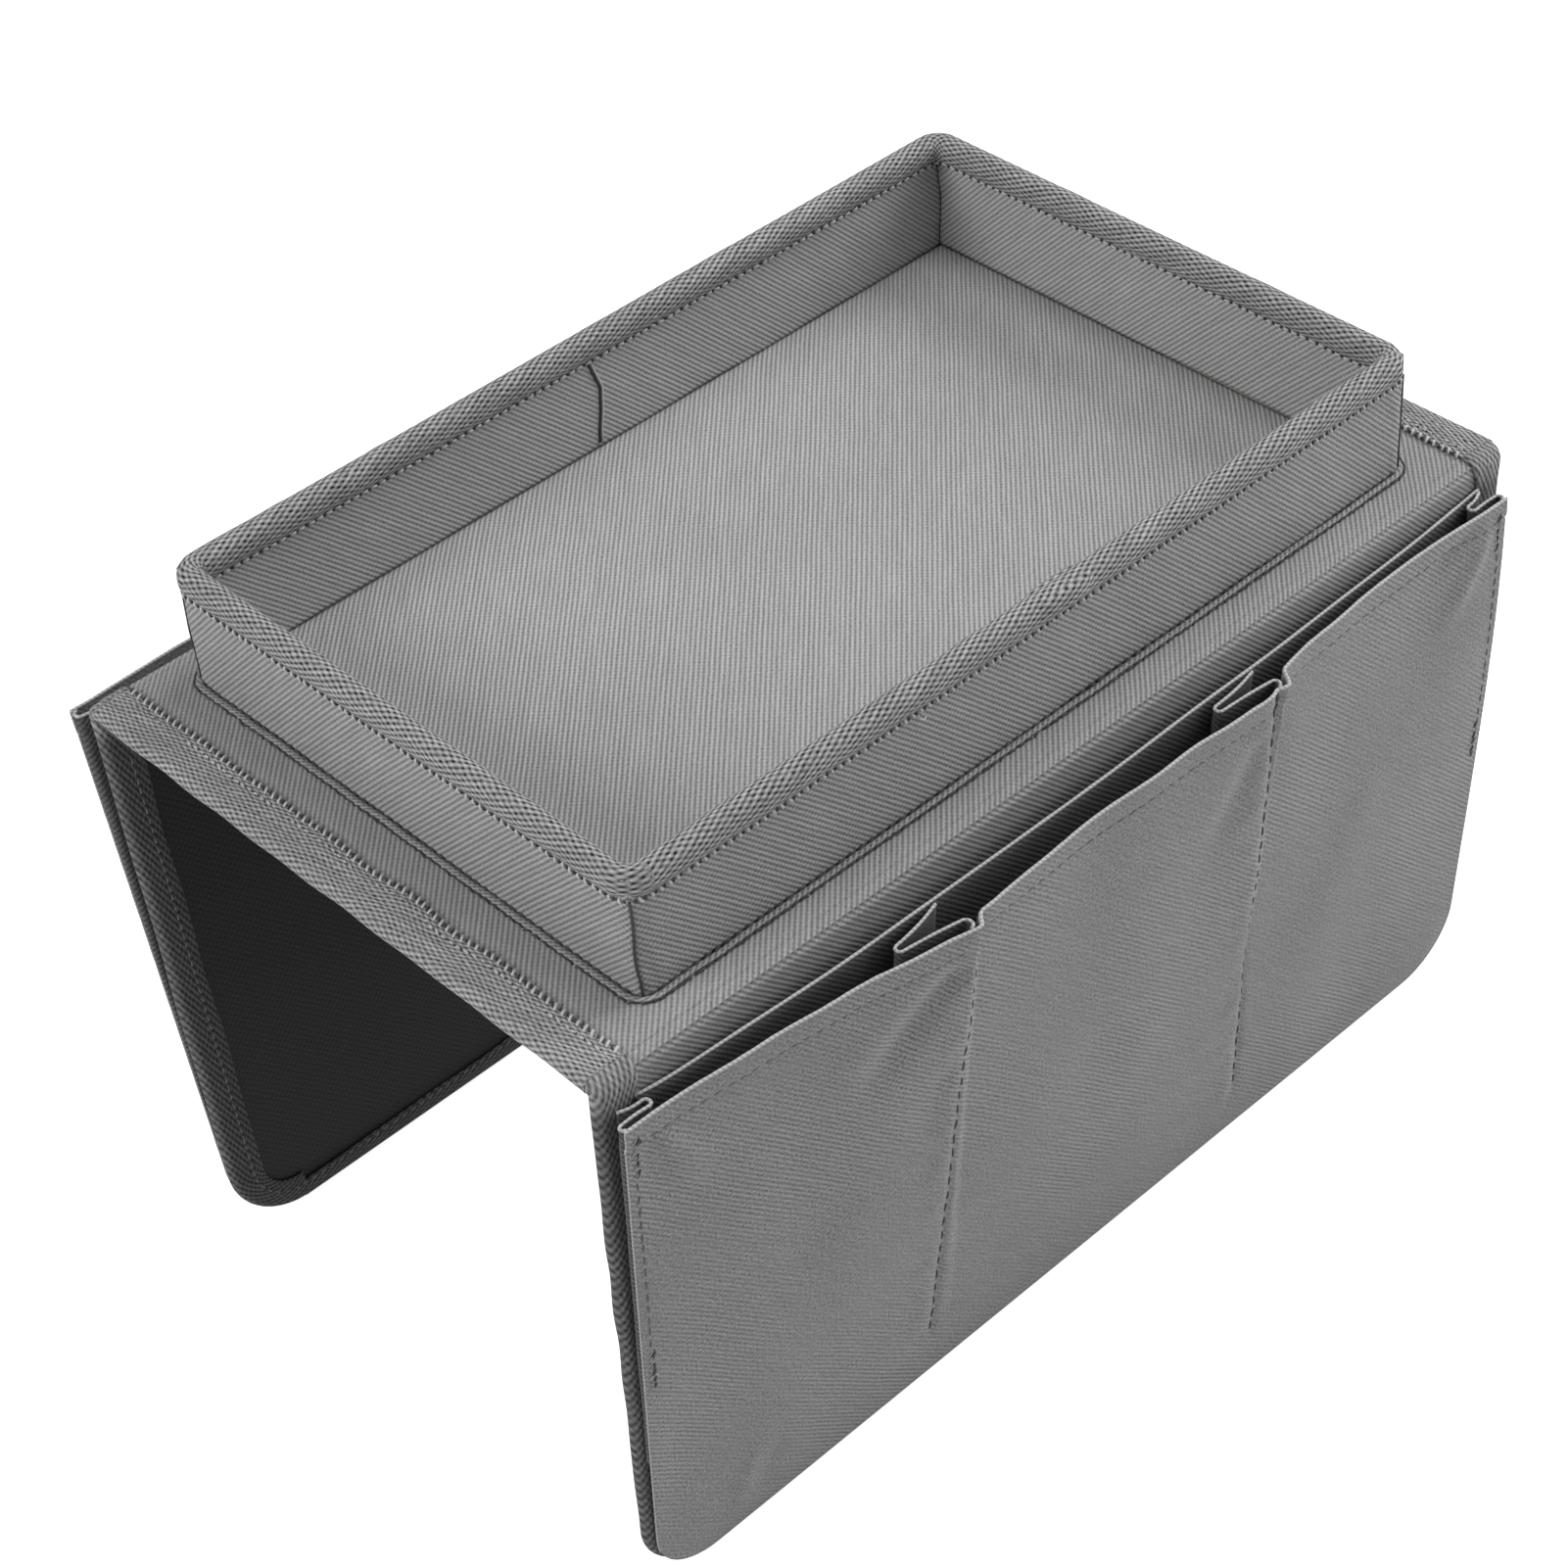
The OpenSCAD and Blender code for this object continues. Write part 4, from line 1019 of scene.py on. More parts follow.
def side_tape(side, end):
    """Stations: angle about the fold line, then height down the edge, then angle
    round the bottom corner. Each has a place, a direction in from the edge, and a
    share of the inner leg."""
    turn_angle = math.pi / 2 + LEANS[side]
    fold = np.linspace(0, 1, 12)[:-1]
    down = np.linspace(-0.4, CORNER_Z, 110)[:-1]
    corner = np.linspace(0, math.pi / 2, 26)
    count = len(fold) + len(down) + len(corner)
    angle = np.concatenate([turn_angle * (1 - fold), np.zeros(count - len(fold))])[:, None]
    edge_x = np.concatenate([np.full(len(fold) + len(down), HALF_L),
                             HALF_L - CORNER_R + CORNER_R * np.cos(corner)])[:, None]
    edge_z = np.concatenate([0 * fold, down, CORNER_Z - CORNER_R * np.sin(corner)])[:, None]
    in_x = np.concatenate([np.full(len(fold) + len(down), -1.0), -np.cos(corner)])[:, None]
    in_z = np.concatenate([np.zeros(len(fold) + len(down)), np.sin(corner)])[:, None]
    run = np.concatenate([fold * 6.5, 6.5 - down, 6.5 - CORNER_Z + CORNER_R * corner])[:, None]
    inner_share = ease((run - 7.5) / 5)
    leg = side_leg(run, side, end)
    e, h = tape_section(0.5 + (leg - 0.5) * inner_share, leg)
    floor_h = mix(0.5, -9.0, inner_share)
    h = np.maximum(h, floor_h)
    e = e + ripple(run, 2 * h, 75 + side + end, 38, 0.5) * ease(1 - e / 7)
    h = h + ripple(run, 3 * e, 77 + side + end, 16, 0.3) * ease((h - 3) / 1.5)
    x = end * (edge_x + in_x * e)
    y = h * np.cos(angle)
    z = edge_z + in_z * e + h * np.sin(angle)
    points = on_flap(side, x, y, z)
    flat = tape_map(run + 0 * e, e * np.where(np.arange(e.shape[1]) < 14, -1, 1))
    if side * end > 0:
        points, flat = points[::-1], flat[::-1]
    return cloth(f"{SIDE_NAMES[side]}_{'left' if end < 0 else 'right'}_binding", points, flat, TAPE_T * 0.75)


for side in (-1, 1):
    for end in (-1, 1):
        side_word = "left" if end < 0 else "right"
        stands_for = [f"{SIDE_NAMES[side]}_{side_word}_tape"]
        if end < 0:
            stands_for.append(f"{SIDE_NAMES[side]}_fold_tapes")
        # The side tapes carry painted shade below the fold.
        dress(side_tape(side, end), SIDE_CLOTH, bend=fold_bend(side),
              stands_for=stands_for)

# %% [markdown]
# The flap's bottom edge is closed by a narrow hem of the same tape.

# %% The hems along the flaps' feet
HEM_LEG = 7.0


def foot_hem(side):
    """The tape section carried along x, with its edge at the flap's foot."""
    run = HALF_L - CORNER_R + 0.6
    x = np.linspace(-run, run, 130)[:, None]
    leg = HEM_LEG + ripple(x, 0 * x, 81 + side, 30, 0.6)
    e, h = tape_section(leg, leg)
    points = on_flap(side, x + 0 * e, h, FLAP_FOOT_Z + e)
    flat = tape_map(x + 0 * e, e * np.where(np.arange(e.shape[1]) < 14, -1, 1))
    if side > 0:
        points, flat = points[::-1], flat[::-1]
    return cloth(f"{SIDE_NAMES[side]}_foot_hem", points[::-1], flat[::-1], TAPE_T * 0.75)


for side in (-1, 1):
    # The hems lie wholly below the fold and carry the tapes' painted shade.
    dress(foot_hem(side), SIDE_CLOTH, FLAP_BODY[side],
          stands_for=[f"{SIDE_NAMES[side]}_hem"])

# %% [markdown]
# ## The pockets' depth
# A bellows pocket is one cloth sewn along its foot, its sides and its dividers.
# How far it stands off the flap is the heart of its shape: nothing at the foot,
# most at the mouth, with a step where a divider's seam holds it back. Every
# seam, pleat and stitch reads its place from this one function.

# %% How far a pocket stands off its flap
PANEL_INSET, FOOT_GAP, LEAST_DEPTH, BELLY = 1.5, 1.2, 0.7, 1.5
DEPTH_POWER, DRAW_POWER, SEAM_STEP = 1.1, 4, 5
PANEL_X = HALF_L - PANEL_INSET
# Left and right edge, depth of the mouth there, sag of the mouth, growth
FRONT_CELLS = ((-PANEL_X, -60, 7, 19, 0, 1.9), (-60, 57, 15.4, 15.4, 1.6, 1),
               (57, PANEL_X, 10.8, 8, 2.8, 1))
REAR_CELLS = ((-PANEL_X, 0, 12, 15, 0, 1), (0, PANEL_X, 13, 12, 1.5, 1))
CELLS = {-1: FRONT_CELLS, 1: REAR_CELLS}
DRAW_IN = {-1: 7, 1: 0}
# Depths between which the cloth passes from the flap to the pocket's own body
BEND_DEPTHS = {-1: (1, 8), 1: (0.5, 11.5)}


def cell_depth(cell, x, s):
    """foot gap + (mouth - foot gap) s^1.1 + a belly, with mouth = mix(left, right,
    t^growth) - sag sin(pi t), and t the share of the way across the compartment."""
    left, right, left_depth, right_depth, sag, growth = cell
    t = np.clip((x - left) / (right - left), 0, 1)
    mouth = mix(left_depth, right_depth, t ** growth) - sag * np.sin(math.pi * t)
    return (FOOT_GAP + (mouth - FOOT_GAP) * s ** DEPTH_POWER
            + BELLY * np.sin(math.pi * t) * np.sin(math.pi * s))


def pocket_depth(side, x, s):
    """Depth of the whole pocket: each compartment's own, stepping down over 5 mm to
    the right of a divider."""
    cells = CELLS[side]
    depth = cell_depth(cells[0], x, s)
    for cell, before in zip(cells[1:], cells):
        step = ease((x - cell[0]) / SEAM_STEP)
        held = cell_depth(before, np.minimum(x, cell[0]), s)
        depth = np.where(x > cell[0], mix(held, cell_depth(cell, x, s), step), depth)
    return depth


def height_share(z):
    """0 at the pocket's foot, 1 at its mouth."""
    return np.clip((z - FLAP_FOOT_Z) / FLAP_H, 0, 1)


def pocket_bend(side):
    """The flap and the pocket, with a place near the flap and one far off it, for the pocket's cloth, which passes
    from one to the other. All its pieces are given the same."""
    near, far = BEND_DEPTHS[side]
    start, end = on_flap(side, 0, STACK_T + near, -100), on_flap(side, 0, STACK_T + far, -100)
    return (FLAP_BODY[side], f"{SIDE_NAMES[side]}_pocket", tuple(start), tuple(end))


def panel_x(side, share_x, z):
    """x of a column on a panel: squeezed into the round corners, and drawn in
    towards the mouth at the right edge."""
    half = flap_half(z, PANEL_INSET)
    x = share_x * PANEL_X
    last = CELLS[side][-1]
    drawn = DRAW_IN[side] * height_share(z) ** DRAW_POWER * np.clip((x - last[0]) / (last[1] - last[0]), 0, 1)
    return x * half / PANEL_X - drawn


# %% [markdown]
# ## The front pocket panel
# The large cloth in front. On top of its depth it has what sewing does to it: a
# groove with puckers along each divider's stitches, creases that run out from
# the corners where it is pulled, a hem turned over at the mouth, and a slow
# swell in each compartment. Each is a hill or a wave added to the depth.

# %% Puckers and creases of the pocket cloth
# Stitch line of each divider on the panel: x at the mouth and at its lower end
DIVIDER_SEAMS = {-1: ((-57.5, -63.5), (54.0, 63.0)), 1: ((1.5, 0.0),)}
SEAM_FOOT_Z = FLAP_FOOT_Z + 19
HEM_DROP = 7.0
# Creases as (start x, start z, end x, end z, width, height), z below the mouth
CREASES = {-1: ((-60, -10, -98, -46, 7, -2.3), (-66, -4, -108, -34, 8, 0.7),
                (-61, -40, -74, -84, 7, -0.8), (-156, -6, -138, -34, 5, 1.6),
                (-127, -152, -141, -182, 3.5, 0.7), (-120, -156, -131, -183, 4, -0.5),
                (154, -2, 124, -14, 4, -1.2), (157, -6, 136, -40, 5, 1.5),
                (60, -12, 66, -60, 6, -0.6), (52, -10, 30, -58, 7, -1.3),
                (20, -95, -14, -150, 16, 0.9), (110, -70, 92, -150, 14, 0.9),
                (-100, -80, -92, -150, 18, 0.7)),
           1: ((-120, -20, -96, -60, 8, 0.7), (96, -30, 120, -80, 9, -0.7))}


def seam_x(seam, z):
    """x of a divider's stitch line at height z."""
    share = np.clip((MOUTH_Z - z) / (MOUTH_Z - SEAM_FOOT_Z), 0, 1)
    return mix(seam[0], seam[1], share)


def crease(x, z, line):
    """A soft fold along a segment: hill(distance across) x an ease at its ends."""
    ax, az, bx, bz, width, height = line
    az, bz = az + MOUTH_Z, bz + MOUTH_Z
    run = math.hypot(bx - ax, bz - az)
    t = ((x - ax) * (bx - ax) + (z - az) * (bz - az)) / run
    d = ((x - ax) * (bz - az) - (z - az) * (bx - ax)) / run
    spread = width * (0.55 + 0.6 * np.clip(t / run, 0, 1))
    return height * hill(d, 0, spread) * ease(t / 9) * ease((run - t) / (run / 2))


def pocket_relief(side, x, z):
    """All that stands on the pocket's plain depth, in mm."""
    s = height_share(z)
    relief = ripple(x, z, 91 + side, 90, 0.9) + ripple(x, 0.4 * z, 93 + side, 42, 0.5)
    for seam in DIVIDER_SEAMS[side]:
        across = x - seam_x(seam, z)
        sewn = ease((z - SEAM_FOOT_Z + 6) / 10)
        relief = relief - 0.75 * sewn * hill(across, 0, 1.6)
        near_mouth = ease((z - MOUTH_Z + 16) / 6) * ease((MOUTH_Z - z) / 3)
        relief = relief - 0.5 * hill(across, 0.4, 1.8) * near_mouth
        relief = relief + sewn * hill(across, -5, 4.5) * (0.35 + ripple(z, 0.3 * x, 95, 11, 0.8))
        relief = relief + sewn * hill(across, 5, 4) * ripple(z, 0.3 * x, 96, 9, 0.5)
    for line in CREASES[side]:
        relief = relief + crease(x, z, line)
    to_edge = np.minimum(PANEL_X - np.abs(x), (z - FLAP_FOOT_Z - PANEL_INSET))
    relief = relief * ease(to_edge / 9)
    relief = relief + 0.35 * ease((z - MOUTH_Z + HEM_DROP + 0.5) / 1.0)
    relief = relief - 0.3 * hill(z, MOUTH_Z - HEM_DROP, 0.8)
    relief = relief + s * ripple(x, 0 * x, 97, 30, 0.5) * hill(z, MOUTH_Z, 9)
    return relief


def pocket_point(side, x, z, lift=0.0):
    """Point of a panel's outer face at column x and height z, raised by lift."""
    s = height_share(z)
    depth = pocket_depth(side, x, s) + pocket_relief(side, x, z)
    depth = np.maximum(depth, LEAST_DEPTH)
    return on_flap(side, panel_x(side, x / PANEL_X, z), STACK_T + depth + COVER_T + lift, z)


def panel_columns(side):
    """Columns of a panel, closer together about the dividers and at the edges."""
    even = np.linspace(-PANEL_X, PANEL_X, 190)
    close = [cell[0] + np.linspace(-6, 8, 26) for cell in CELLS[side][1:]]
    ends = [np.array([-1, 1]) * (PANEL_X - d) for d in (0.4, 0.9)]
    return np.unique(np.round(np.concatenate([even, *close, *ends]), 2))


def panel_heights():
    """Heights of a panel's rows: close round the corner and at the hem."""
    foot = FLAP_FOOT_Z + PANEL_INSET
    corner = CORNER_Z - (CORNER_Z - foot) * np.sin(np.linspace(math.pi / 2, 0, 20))
    up = np.linspace(CORNER_Z, MOUTH_Z - HEM_DROP - 2, 96)[1:]
    hem = np.linspace(MOUTH_Z - HEM_DROP - 1.6, MOUTH_Z, 20)
    return np.concatenate([corner, up, hem])


def pocket_panel(side):
    """P = panel point over all columns and heights, as cloth 0.8 mm thick."""
    x, z = np.meshgrid(panel_columns(side), panel_heights(), indexing="ij")
    points, flat = pocket_point(side, x, z), level_map(panel_x(side, x / PANEL_X, z), -z)
    if side > 0:
        points, flat = points[::-1], flat[::-1]
    return cloth(f"{SIDE_NAMES[side]}_pocket_cloth", points, flat, COVER_T)


for side in (-1, 1):
    dress(pocket_panel(side), POCKET_CLOTH, bend=pocket_bend(side),
          stands_for=[f"{SIDE_NAMES[side]}_pocket_panel"])

# %% [markdown]
# ## The flat pocket
# Behind the bellows hangs a plain sheet, sewn to the flap at its sides and foot.
# Its mouth stands open most a little left of the middle.

# %% The flat pocket
FLAT_HALF = HALF_L - SIDE_LEG - 0.15
FLAT_GAP, FLAT_PEAK_X, FLAT_FULLNESS = 5.2, -34, 0.6


def flat_gap(x, z):
    """gap = 5.2 share_z^2 cos(90 deg share_x)^0.6."""
    side_x = np.where(x < FLAT_PEAK_X, -FLAT_HALF, FLAT_HALF)
    share = np.clip((x - FLAT_PEAK_X) / (side_x - FLAT_PEAK_X), 0, 1)
    rise = np.clip((z - CORNER_Z) / (MOUTH_Z - CORNER_Z), 0, 1) ** 2
    return FLAT_GAP * rise * np.maximum(np.cos(math.pi / 2 * share), 0) ** FLAT_FULLNESS


def flat_point(x, z, lift=0.0):
    """Point of the flat pocket's outer face."""
    wave = ripple(x, z, 101, 50, 0.35) * ease((FLAT_HALF - np.abs(x)) / 12)
    wave = np.maximum(wave, -flat_gap(x, z) * 0.8)
    return on_flap(-1, x, STACK_T + COVER_T + flat_gap(x, z) + wave + lift, z)


def flat_pocket():
    """The sheet from the hem to the mouth, narrowing inside the round corners."""
    low = FLAP_FOOT_Z + HEM_LEG
    z = np.concatenate([np.linspace(low, CORNER_Z, 8)[:-1], np.linspace(CORNER_Z, MOUTH_Z, 50)])
    share = np.sin(np.linspace(-math.pi / 2, math.pi / 2, 130))
    share = mix(share, np.linspace(-1, 1, 130), 0.5)[:, None]
    x = share * np.minimum(flap_half(z, SIDE_LEG + 0.15), FLAT_HALF)[None, :]
    z = z[None, :] + 0 * x
    return cloth("front_flat_pocket_cloth", flat_point(x, z), level_map(x, -z), COVER_T)


# The flat pocket's nearly black cloth is painted shade.
dress(flat_pocket(), DEEP_SHADE_CLOTH, "front_flap", stands_for=["front_flat_pocket"])

# %% [markdown]
# ## Dividers and gussets
# Between the flap and the panel stand pleats: strips of cloth folded like an
# accordion, so that the pocket can open. Seen from above, a pleat runs from its
# seam on the flap to a round fold, and back to its seam on the panel. Lower
# down the pocket is thinner, so the fold gets tighter and the pleat shorter.

# %% Pleats
PLEAT_T, PLEAT_R = 0.5, 1.5
PLEAT_FOOT_Z = FLAP_FOOT_Z + 0.3 * FLAP_H


def pleat(start, fold, finish, radius, z):
    """Plan points in each row: a leg from start, half a circle about the fold, a leg
    back, and a smaller half circle that ends at finish, where the panel's seam is.
    start, fold and finish are (x, y) rows, one for each height."""
    away = np.sign(fold[0] - start[0])
    q = np.linspace(0, math.pi, 13)[:, None]
    bend_x = fold[0] + away * radius * np.sin(q)
    bend_y = fold[1] - radius * np.cos(q)
    end_r = np.minimum(0.13 * (finish[1] - start[1]), 1.6)
    end_x = finish[0] + away * end_r * (1 - np.sin(q))
    end_y = finish[1] - end_r * (1 + np.cos(q))
    leg = np.linspace(0, 1, 14)[1:-1, None]
    bow = 0.5 * np.sin(math.pi * leg)
    leg_in = (mix(start[0], bend_x[:1], leg), mix(start[1], bend_y[:1], leg) + bow)
    leg_out = (mix(bend_x[-1:], end_x[:1], leg), mix(bend_y[-1:], end_y[:1], leg) - 0.4 * bow)
    x = np.concatenate([start[0][None], leg_in[0], bend_x, leg_out[0], end_x])
    y = np.concatenate([start[1][None], leg_in[1], bend_y, leg_out[1], end_y])
    z = z[None, :] + 0 * x
    x = x + ripple(z, y, 111, 30, 0.5) * ease(np.abs(x - start[0]) / 6)
    run = np.concatenate([np.zeros((1, x.shape[1])), np.cumsum(np.hypot(np.diff(x, axis=0), np.diff(y, axis=0)), 0)])
    return x, y, z, run


def room_behind(side, x, inwards, z):
    """Least depth of the panel within 4 mm of a seam, on the side where its pleat
    lies, so that the pleat stays behind every crease of the panel."""
    near = x + inwards * np.arange(5)[:, None]
    depth = pocket_depth(side, near, height_share(z)) + pocket_relief(side, near, z)
    return np.maximum(depth, LEAST_DEPTH).min(0)


def divider_rows(side, cell_x, z):
    """A divider points left, from the cloth behind it to the panel."""
    s = height_share(z)
    clear = 0.2 + PLEAT_T / 2
    behind = flat_gap(cell_x, z) + COVER_T if side < 0 else 0 * z
    inner = STACK_T + behind + clear
    outer = STACK_T + room_behind(side, cell_x, -1, z) - clear
    radius = np.clip(0.27 * (outer - inner), 0.4, PLEAT_R)
    fold_y = mix(inner + radius, outer - radius, 0.35)
    fold_x = cell_x - 20 * mix(0.65, 1, s) + radius
    return (cell_x - 2 + 0 * z, inner), (fold_x, fold_y), (cell_x - 0.3 + 0 * z, outer), radius


def gusset_rows(side, end, z):
    """A gusset points inwards, from beside the side tape to the panel's edge."""
    s = height_share(z)
    clear = 0.2 + PLEAT_T / 2
    cell = CELLS[side][0] if end < 0 else CELLS[side][-1]
    edge = cell[0] if end < 0 else cell[1]
    x = edge - (DRAW_IN[side] * s ** DRAW_POWER if end > 0 else 0 * s)
    inner = STACK_T + TAPE_T + clear + 0 * z
    outer = STACK_T + room_behind(side, edge, -end, z) - clear
    radius = np.clip(0.27 * (outer - inner), 0.4, PLEAT_R)
    fold_y = mix(inner + radius, outer - radius, 0.5)
    fold_x = x - end * (11 * mix(0.65, 1, s) - radius)
    return (x - end * 3, inner), (fold_x, fold_y), (x - end * 0.3, outer), radius


PLEATS = {"front_left_divider": (-1, "divider", -60), "front_right_divider": (-1, "divider", 57),
          "front_left_gusset": (-1, "gusset", -1), "front_right_gusset": (-1, "gusset", 1),
          "rear_divider": (1, "divider", 0),
          "rear_left_gusset": (1, "gusset", -1), "rear_right_gusset": (1, "gusset", 1)}
pleat_mouths = {}
for name, (side, kind, place) in PLEATS.items():
    z = np.linspace(PLEAT_FOOT_Z, MOUTH_Z - 0.3, 40)
    start, fold, finish, radius = (divider_rows if kind == "divider" else gusset_rows)(side, place, z)
    x, y, z, run = pleat(start, fold, finish, radius, z)
    points = on_flap(side, x, y, z)
    flat = level_map(run, -z)
    if (side < 0) == (kind == "gusset" and place < 0):
        points, flat = points[::-1], flat[::-1]
    piece = cloth(name + "_cloth", points, flat, PLEAT_T)
    # The pleats' nearly black cloth is painted shade.
    dress(piece, DEEP_SHADE_CLOTH, bend=pocket_bend(side), stands_for=[name])
    pleat_mouths[name] = (side, (points - PLEAT_T / 2 * normals(points))[:, -1])

# %% [markdown]
# ## Light edges of the pockets
# The mouth of every pocket and pleat is a folded or cut edge, and it catches the light as a pale twisted line. Each
# is a yarn half a millimetre in radius, laid on the cloth's own edge.

# %% Yarns along the pockets' edges
def flap_out(side):
    """The direction out of a flap's face."""
    return on_flap(side, 0, 1, 0) - on_flap(side, 0, 0, 0)


def panel_edges(side):
    """The mouth, and the folded edges at both sides, in the middle of the cloth."""
    x = panel_columns(side)
    z = panel_heights()
    z = z[z > CORNER_Z - 6]
    half = -COVER_T / 2
    mouth = pocket_point(side, x, MOUTH_Z + 0 * x, half)
    left = pocket_point(side, -PANEL_X + 0.2 + 0 * z, z, half)
    right = pocket_point(side, PANEL_X - 0.2 + 0 * z, z, half)
    return mouth, left, right


for side in (-1, 1):
    word, out = SIDE_NAMES[side], flap_out(side)
    mouth, left, right = panel_edges(side)
    pleats = [path for place, path in pleat_mouths.values() if place == side]
    yarn_piece(word + "_mouth_yarns",
               [yarn(mouth, (0, 0, 1), 0.5, 121)] + [yarn(path, (0, 0, 1), 0.46, 122) for path in pleats],
               EDGE_HIGHLIGHT, bend=pocket_bend(side))
    # The folded sides' pale colour is a painted highlight.
    yarn_piece(word + "_panel_folds", [yarn(left, out, 0.42, 123), yarn(right, out, 0.42, 124)],
               FOLD_HIGHLIGHT_AND_PALE_THREAD, bend=pocket_bend(side))
flat_x = np.linspace(0.4 - FLAT_HALF, FLAT_HALF - 0.4, 150)
yarn_piece("flat_pocket_mouth_yarn",
           [yarn(flat_point(flat_x, MOUTH_Z + 0 * flat_x, -COVER_T / 2), (0, 0, 1), 0.48, 125)],
           EDGE_HIGHLIGHT, "front_flap")

# %% [markdown]
# The panels are sewn with dark thread. A fine row holds the mouth's hem, a long
# stitch holds each divider, and the side edges have a row that ends in a small
# zigzag tack at the top and at the foot, where the pocket is pulled most.

# %% Stitches on the pocket panels
def panel_row(side, x, z, **sizes):
    """A stitch row along points of the panel's outer face."""
    path = pocket_point(side, x, z)
    return stitches(path, np.broadcast_to(flap_out(side), path.shape), **sizes)


def edge_x(end, z, inset):
    """A line that wanders a little beside a panel's side edge."""
    return end * (PANEL_X - inset + ripple(z, 0 * z, 131 + end, 60, 0.5))


for side in (-1, 1):
    dark, light, fine = [], [], []
    for cell in CELLS[side]:
        x = np.linspace(cell[0] + 3, cell[1] - 3, 80)
        z = MOUTH_Z - HEM_DROP - 0.4 + ripple(x, 0 * x, 132, 60, 0.5)
        fine.append(panel_row(side, x, z, pitch=3.7, length=2.5, radius=0.17, seed=7, slant=0.08))
    for number, seam in enumerate(DIVIDER_SEAMS[side]):
        z = np.linspace(MOUTH_Z - 6, SEAM_FOOT_Z, 120)
        dark.append(panel_row(side, seam_x(seam, z), z, pitch=5.8, length=4.1, radius=0.3,
                              seed=8 + number, uneven=0.08))
        # Painted shadow: a short, thick row of dark thread at the top of each divider seam darkens the slit between
        # the compartments there.
        z = np.linspace(MOUTH_Z - 1.5, MOUTH_Z - 9, 12)
        dark.append(panel_row(side, seam_x(seam, z) + 0.2, z, pitch=4, length=4.5, radius=0.55, seed=10))
    for end in (-1, 1):
        z = np.linspace(MOUTH_Z - 19, MOUTH_Z - 84, 120)
        fine.append(panel_row(side, edge_x(end, z, 2.7), z, pitch=4.6, length=3.6, radius=0.26, seed=12))
        for high, low in ((MOUTH_Z - 3, MOUTH_Z - 18), (MOUTH_Z - 84, MOUTH_Z - 100)):
            z = np.linspace(high, low, 20)
            dark.append(panel_row(side, edge_x(end, z, 3.2), z, pitch=2.6, length=2.8, radius=0.34,
                                  seed=13, slant=0.3, uneven=0.3))
            light.append(panel_row(side, edge_x(end, z, 2.4), z, pitch=2.2, length=2.2, radius=0.26,
                                   seed=14, across=True, slant=0.8, uneven=0.3))
            light.append(panel_row(side, edge_x(end, z, 4.0), z, pitch=3.0, length=2.0, radius=0.22,
                                   seed=15, slant=-0.4, uneven=0.3))
    word = SIDE_NAMES[side]
    thread_piece(word + "_panel_dark_stitches_and_shadow", dark, DARK_THREAD_AND_SHADE, bend=pocket_bend(side))
    thread_piece(word + "_panel_light_stitches", light, FOLD_HIGHLIGHT_AND_PALE_THREAD, bend=pocket_bend(side))
    thread_piece(word + "_panel_fine_stitches", fine, GREY_THREAD, bend=pocket_bend(side))

# %% [markdown]
# The end tapes are oversewn along their inner edge: short rungs of pale thread cross the edge, with a dark needle
# hole between each pair, a blob of dark thread that is painted shade in the hole. A second, finer row runs beside
# it. Together they are the ladder that the photograph shows.

# %% The ladder along the end tapes
def ladder_path(end, inset):
    """A line on the top panel, inset mm outside the tape's inner edge."""
    y = np.linspace(1 - HINGE_Y, HINGE_Y - 1, 200)
    x = end * (HALF_L - top_leg(y, end) + 0.2 + inset)
    return np.stack([x, y, STACK_T + TAPE_T + 0.1 + 0 * y], -1)


up = np.array([0, 0, 1.0])
rungs, holes = [], []
for end in (-1, 1):
    edge, beside = ladder_path(end, 0.3), ladder_path(end, 3.0)
    skyward = np.broadcast_to(up, edge.shape)
    rungs.append(stitches(edge, skyward, 2.6, 2.7, 0.42, across=True, seed=21, slant=0.5))
    holes.append(stitches(edge, skyward, 2.6, 1.7, 0.28, across=True, seed=21, slant=0.5, shift=0.5))
    rungs.append(stitches(beside, skyward, 2.6, 1.6, 0.26, seed=22, shift=0.4))
    holes.append(stitches(beside, skyward, 2.6, 0.7, 0.26, across=True, seed=22))
thread_piece("end_tape_rungs", rungs, LIGHT_THREAD, "top")
# The holes are blobs of dark thread: painted shade.
thread_piece("end_tape_holes", holes, DARK_THREAD_AND_SHADE, "top")

# %% [markdown]
# Inside the flaps, the tape's inner leg and the hem have one plain row each. It
# runs down the side, round the corner and along the foot.

# %% Stitch rows on the flaps' inner faces
def inner_row(side, inset, **sizes):
    """A row inset mm from the flap's edge: down, round the corner, along the foot,
    and up again. Its height lies on the tape's inner leg."""
    q = np.linspace(0, math.pi / 2, 14)[1:]
    drop = np.linspace(-16, CORNER_Z, 70)
    x = np.concatenate([np.full(len(drop), HALF_L - inset),
                        HALF_L - CORNER_R + (CORNER_R - inset) * np.cos(q)])
    z = np.concatenate([drop, CORNER_Z - (CORNER_R - inset) * np.sin(q)])
    x, z = np.concatenate([x, -x[::-1]]), np.concatenate([z, z[::-1]])
    path = on_flap(side, x, -TAPE_T - 0.25, z)
    return stitches(path, np.broadcast_to(-flap_out(side), path.shape), **sizes)


for side in (-1, 1):
    word = SIDE_NAMES[side]
    # Needle holes on the inner faces: blobs of dark thread, painted shade.
    thread_piece(word + "_inner_holes",
                 [inner_row(side, 6.4, pitch=3.4, length=1.0, radius=0.35, seed=31)],
                 DARK_THREAD_AND_SHADE, FLAP_BODY[side])
    thread_piece(word + "_inner_stitches",
                 [inner_row(side, 6.4, pitch=3.4, length=2.2, radius=0.24, seed=31, shift=0.5)],
                 PALE_THREAD, FLAP_BODY[side])

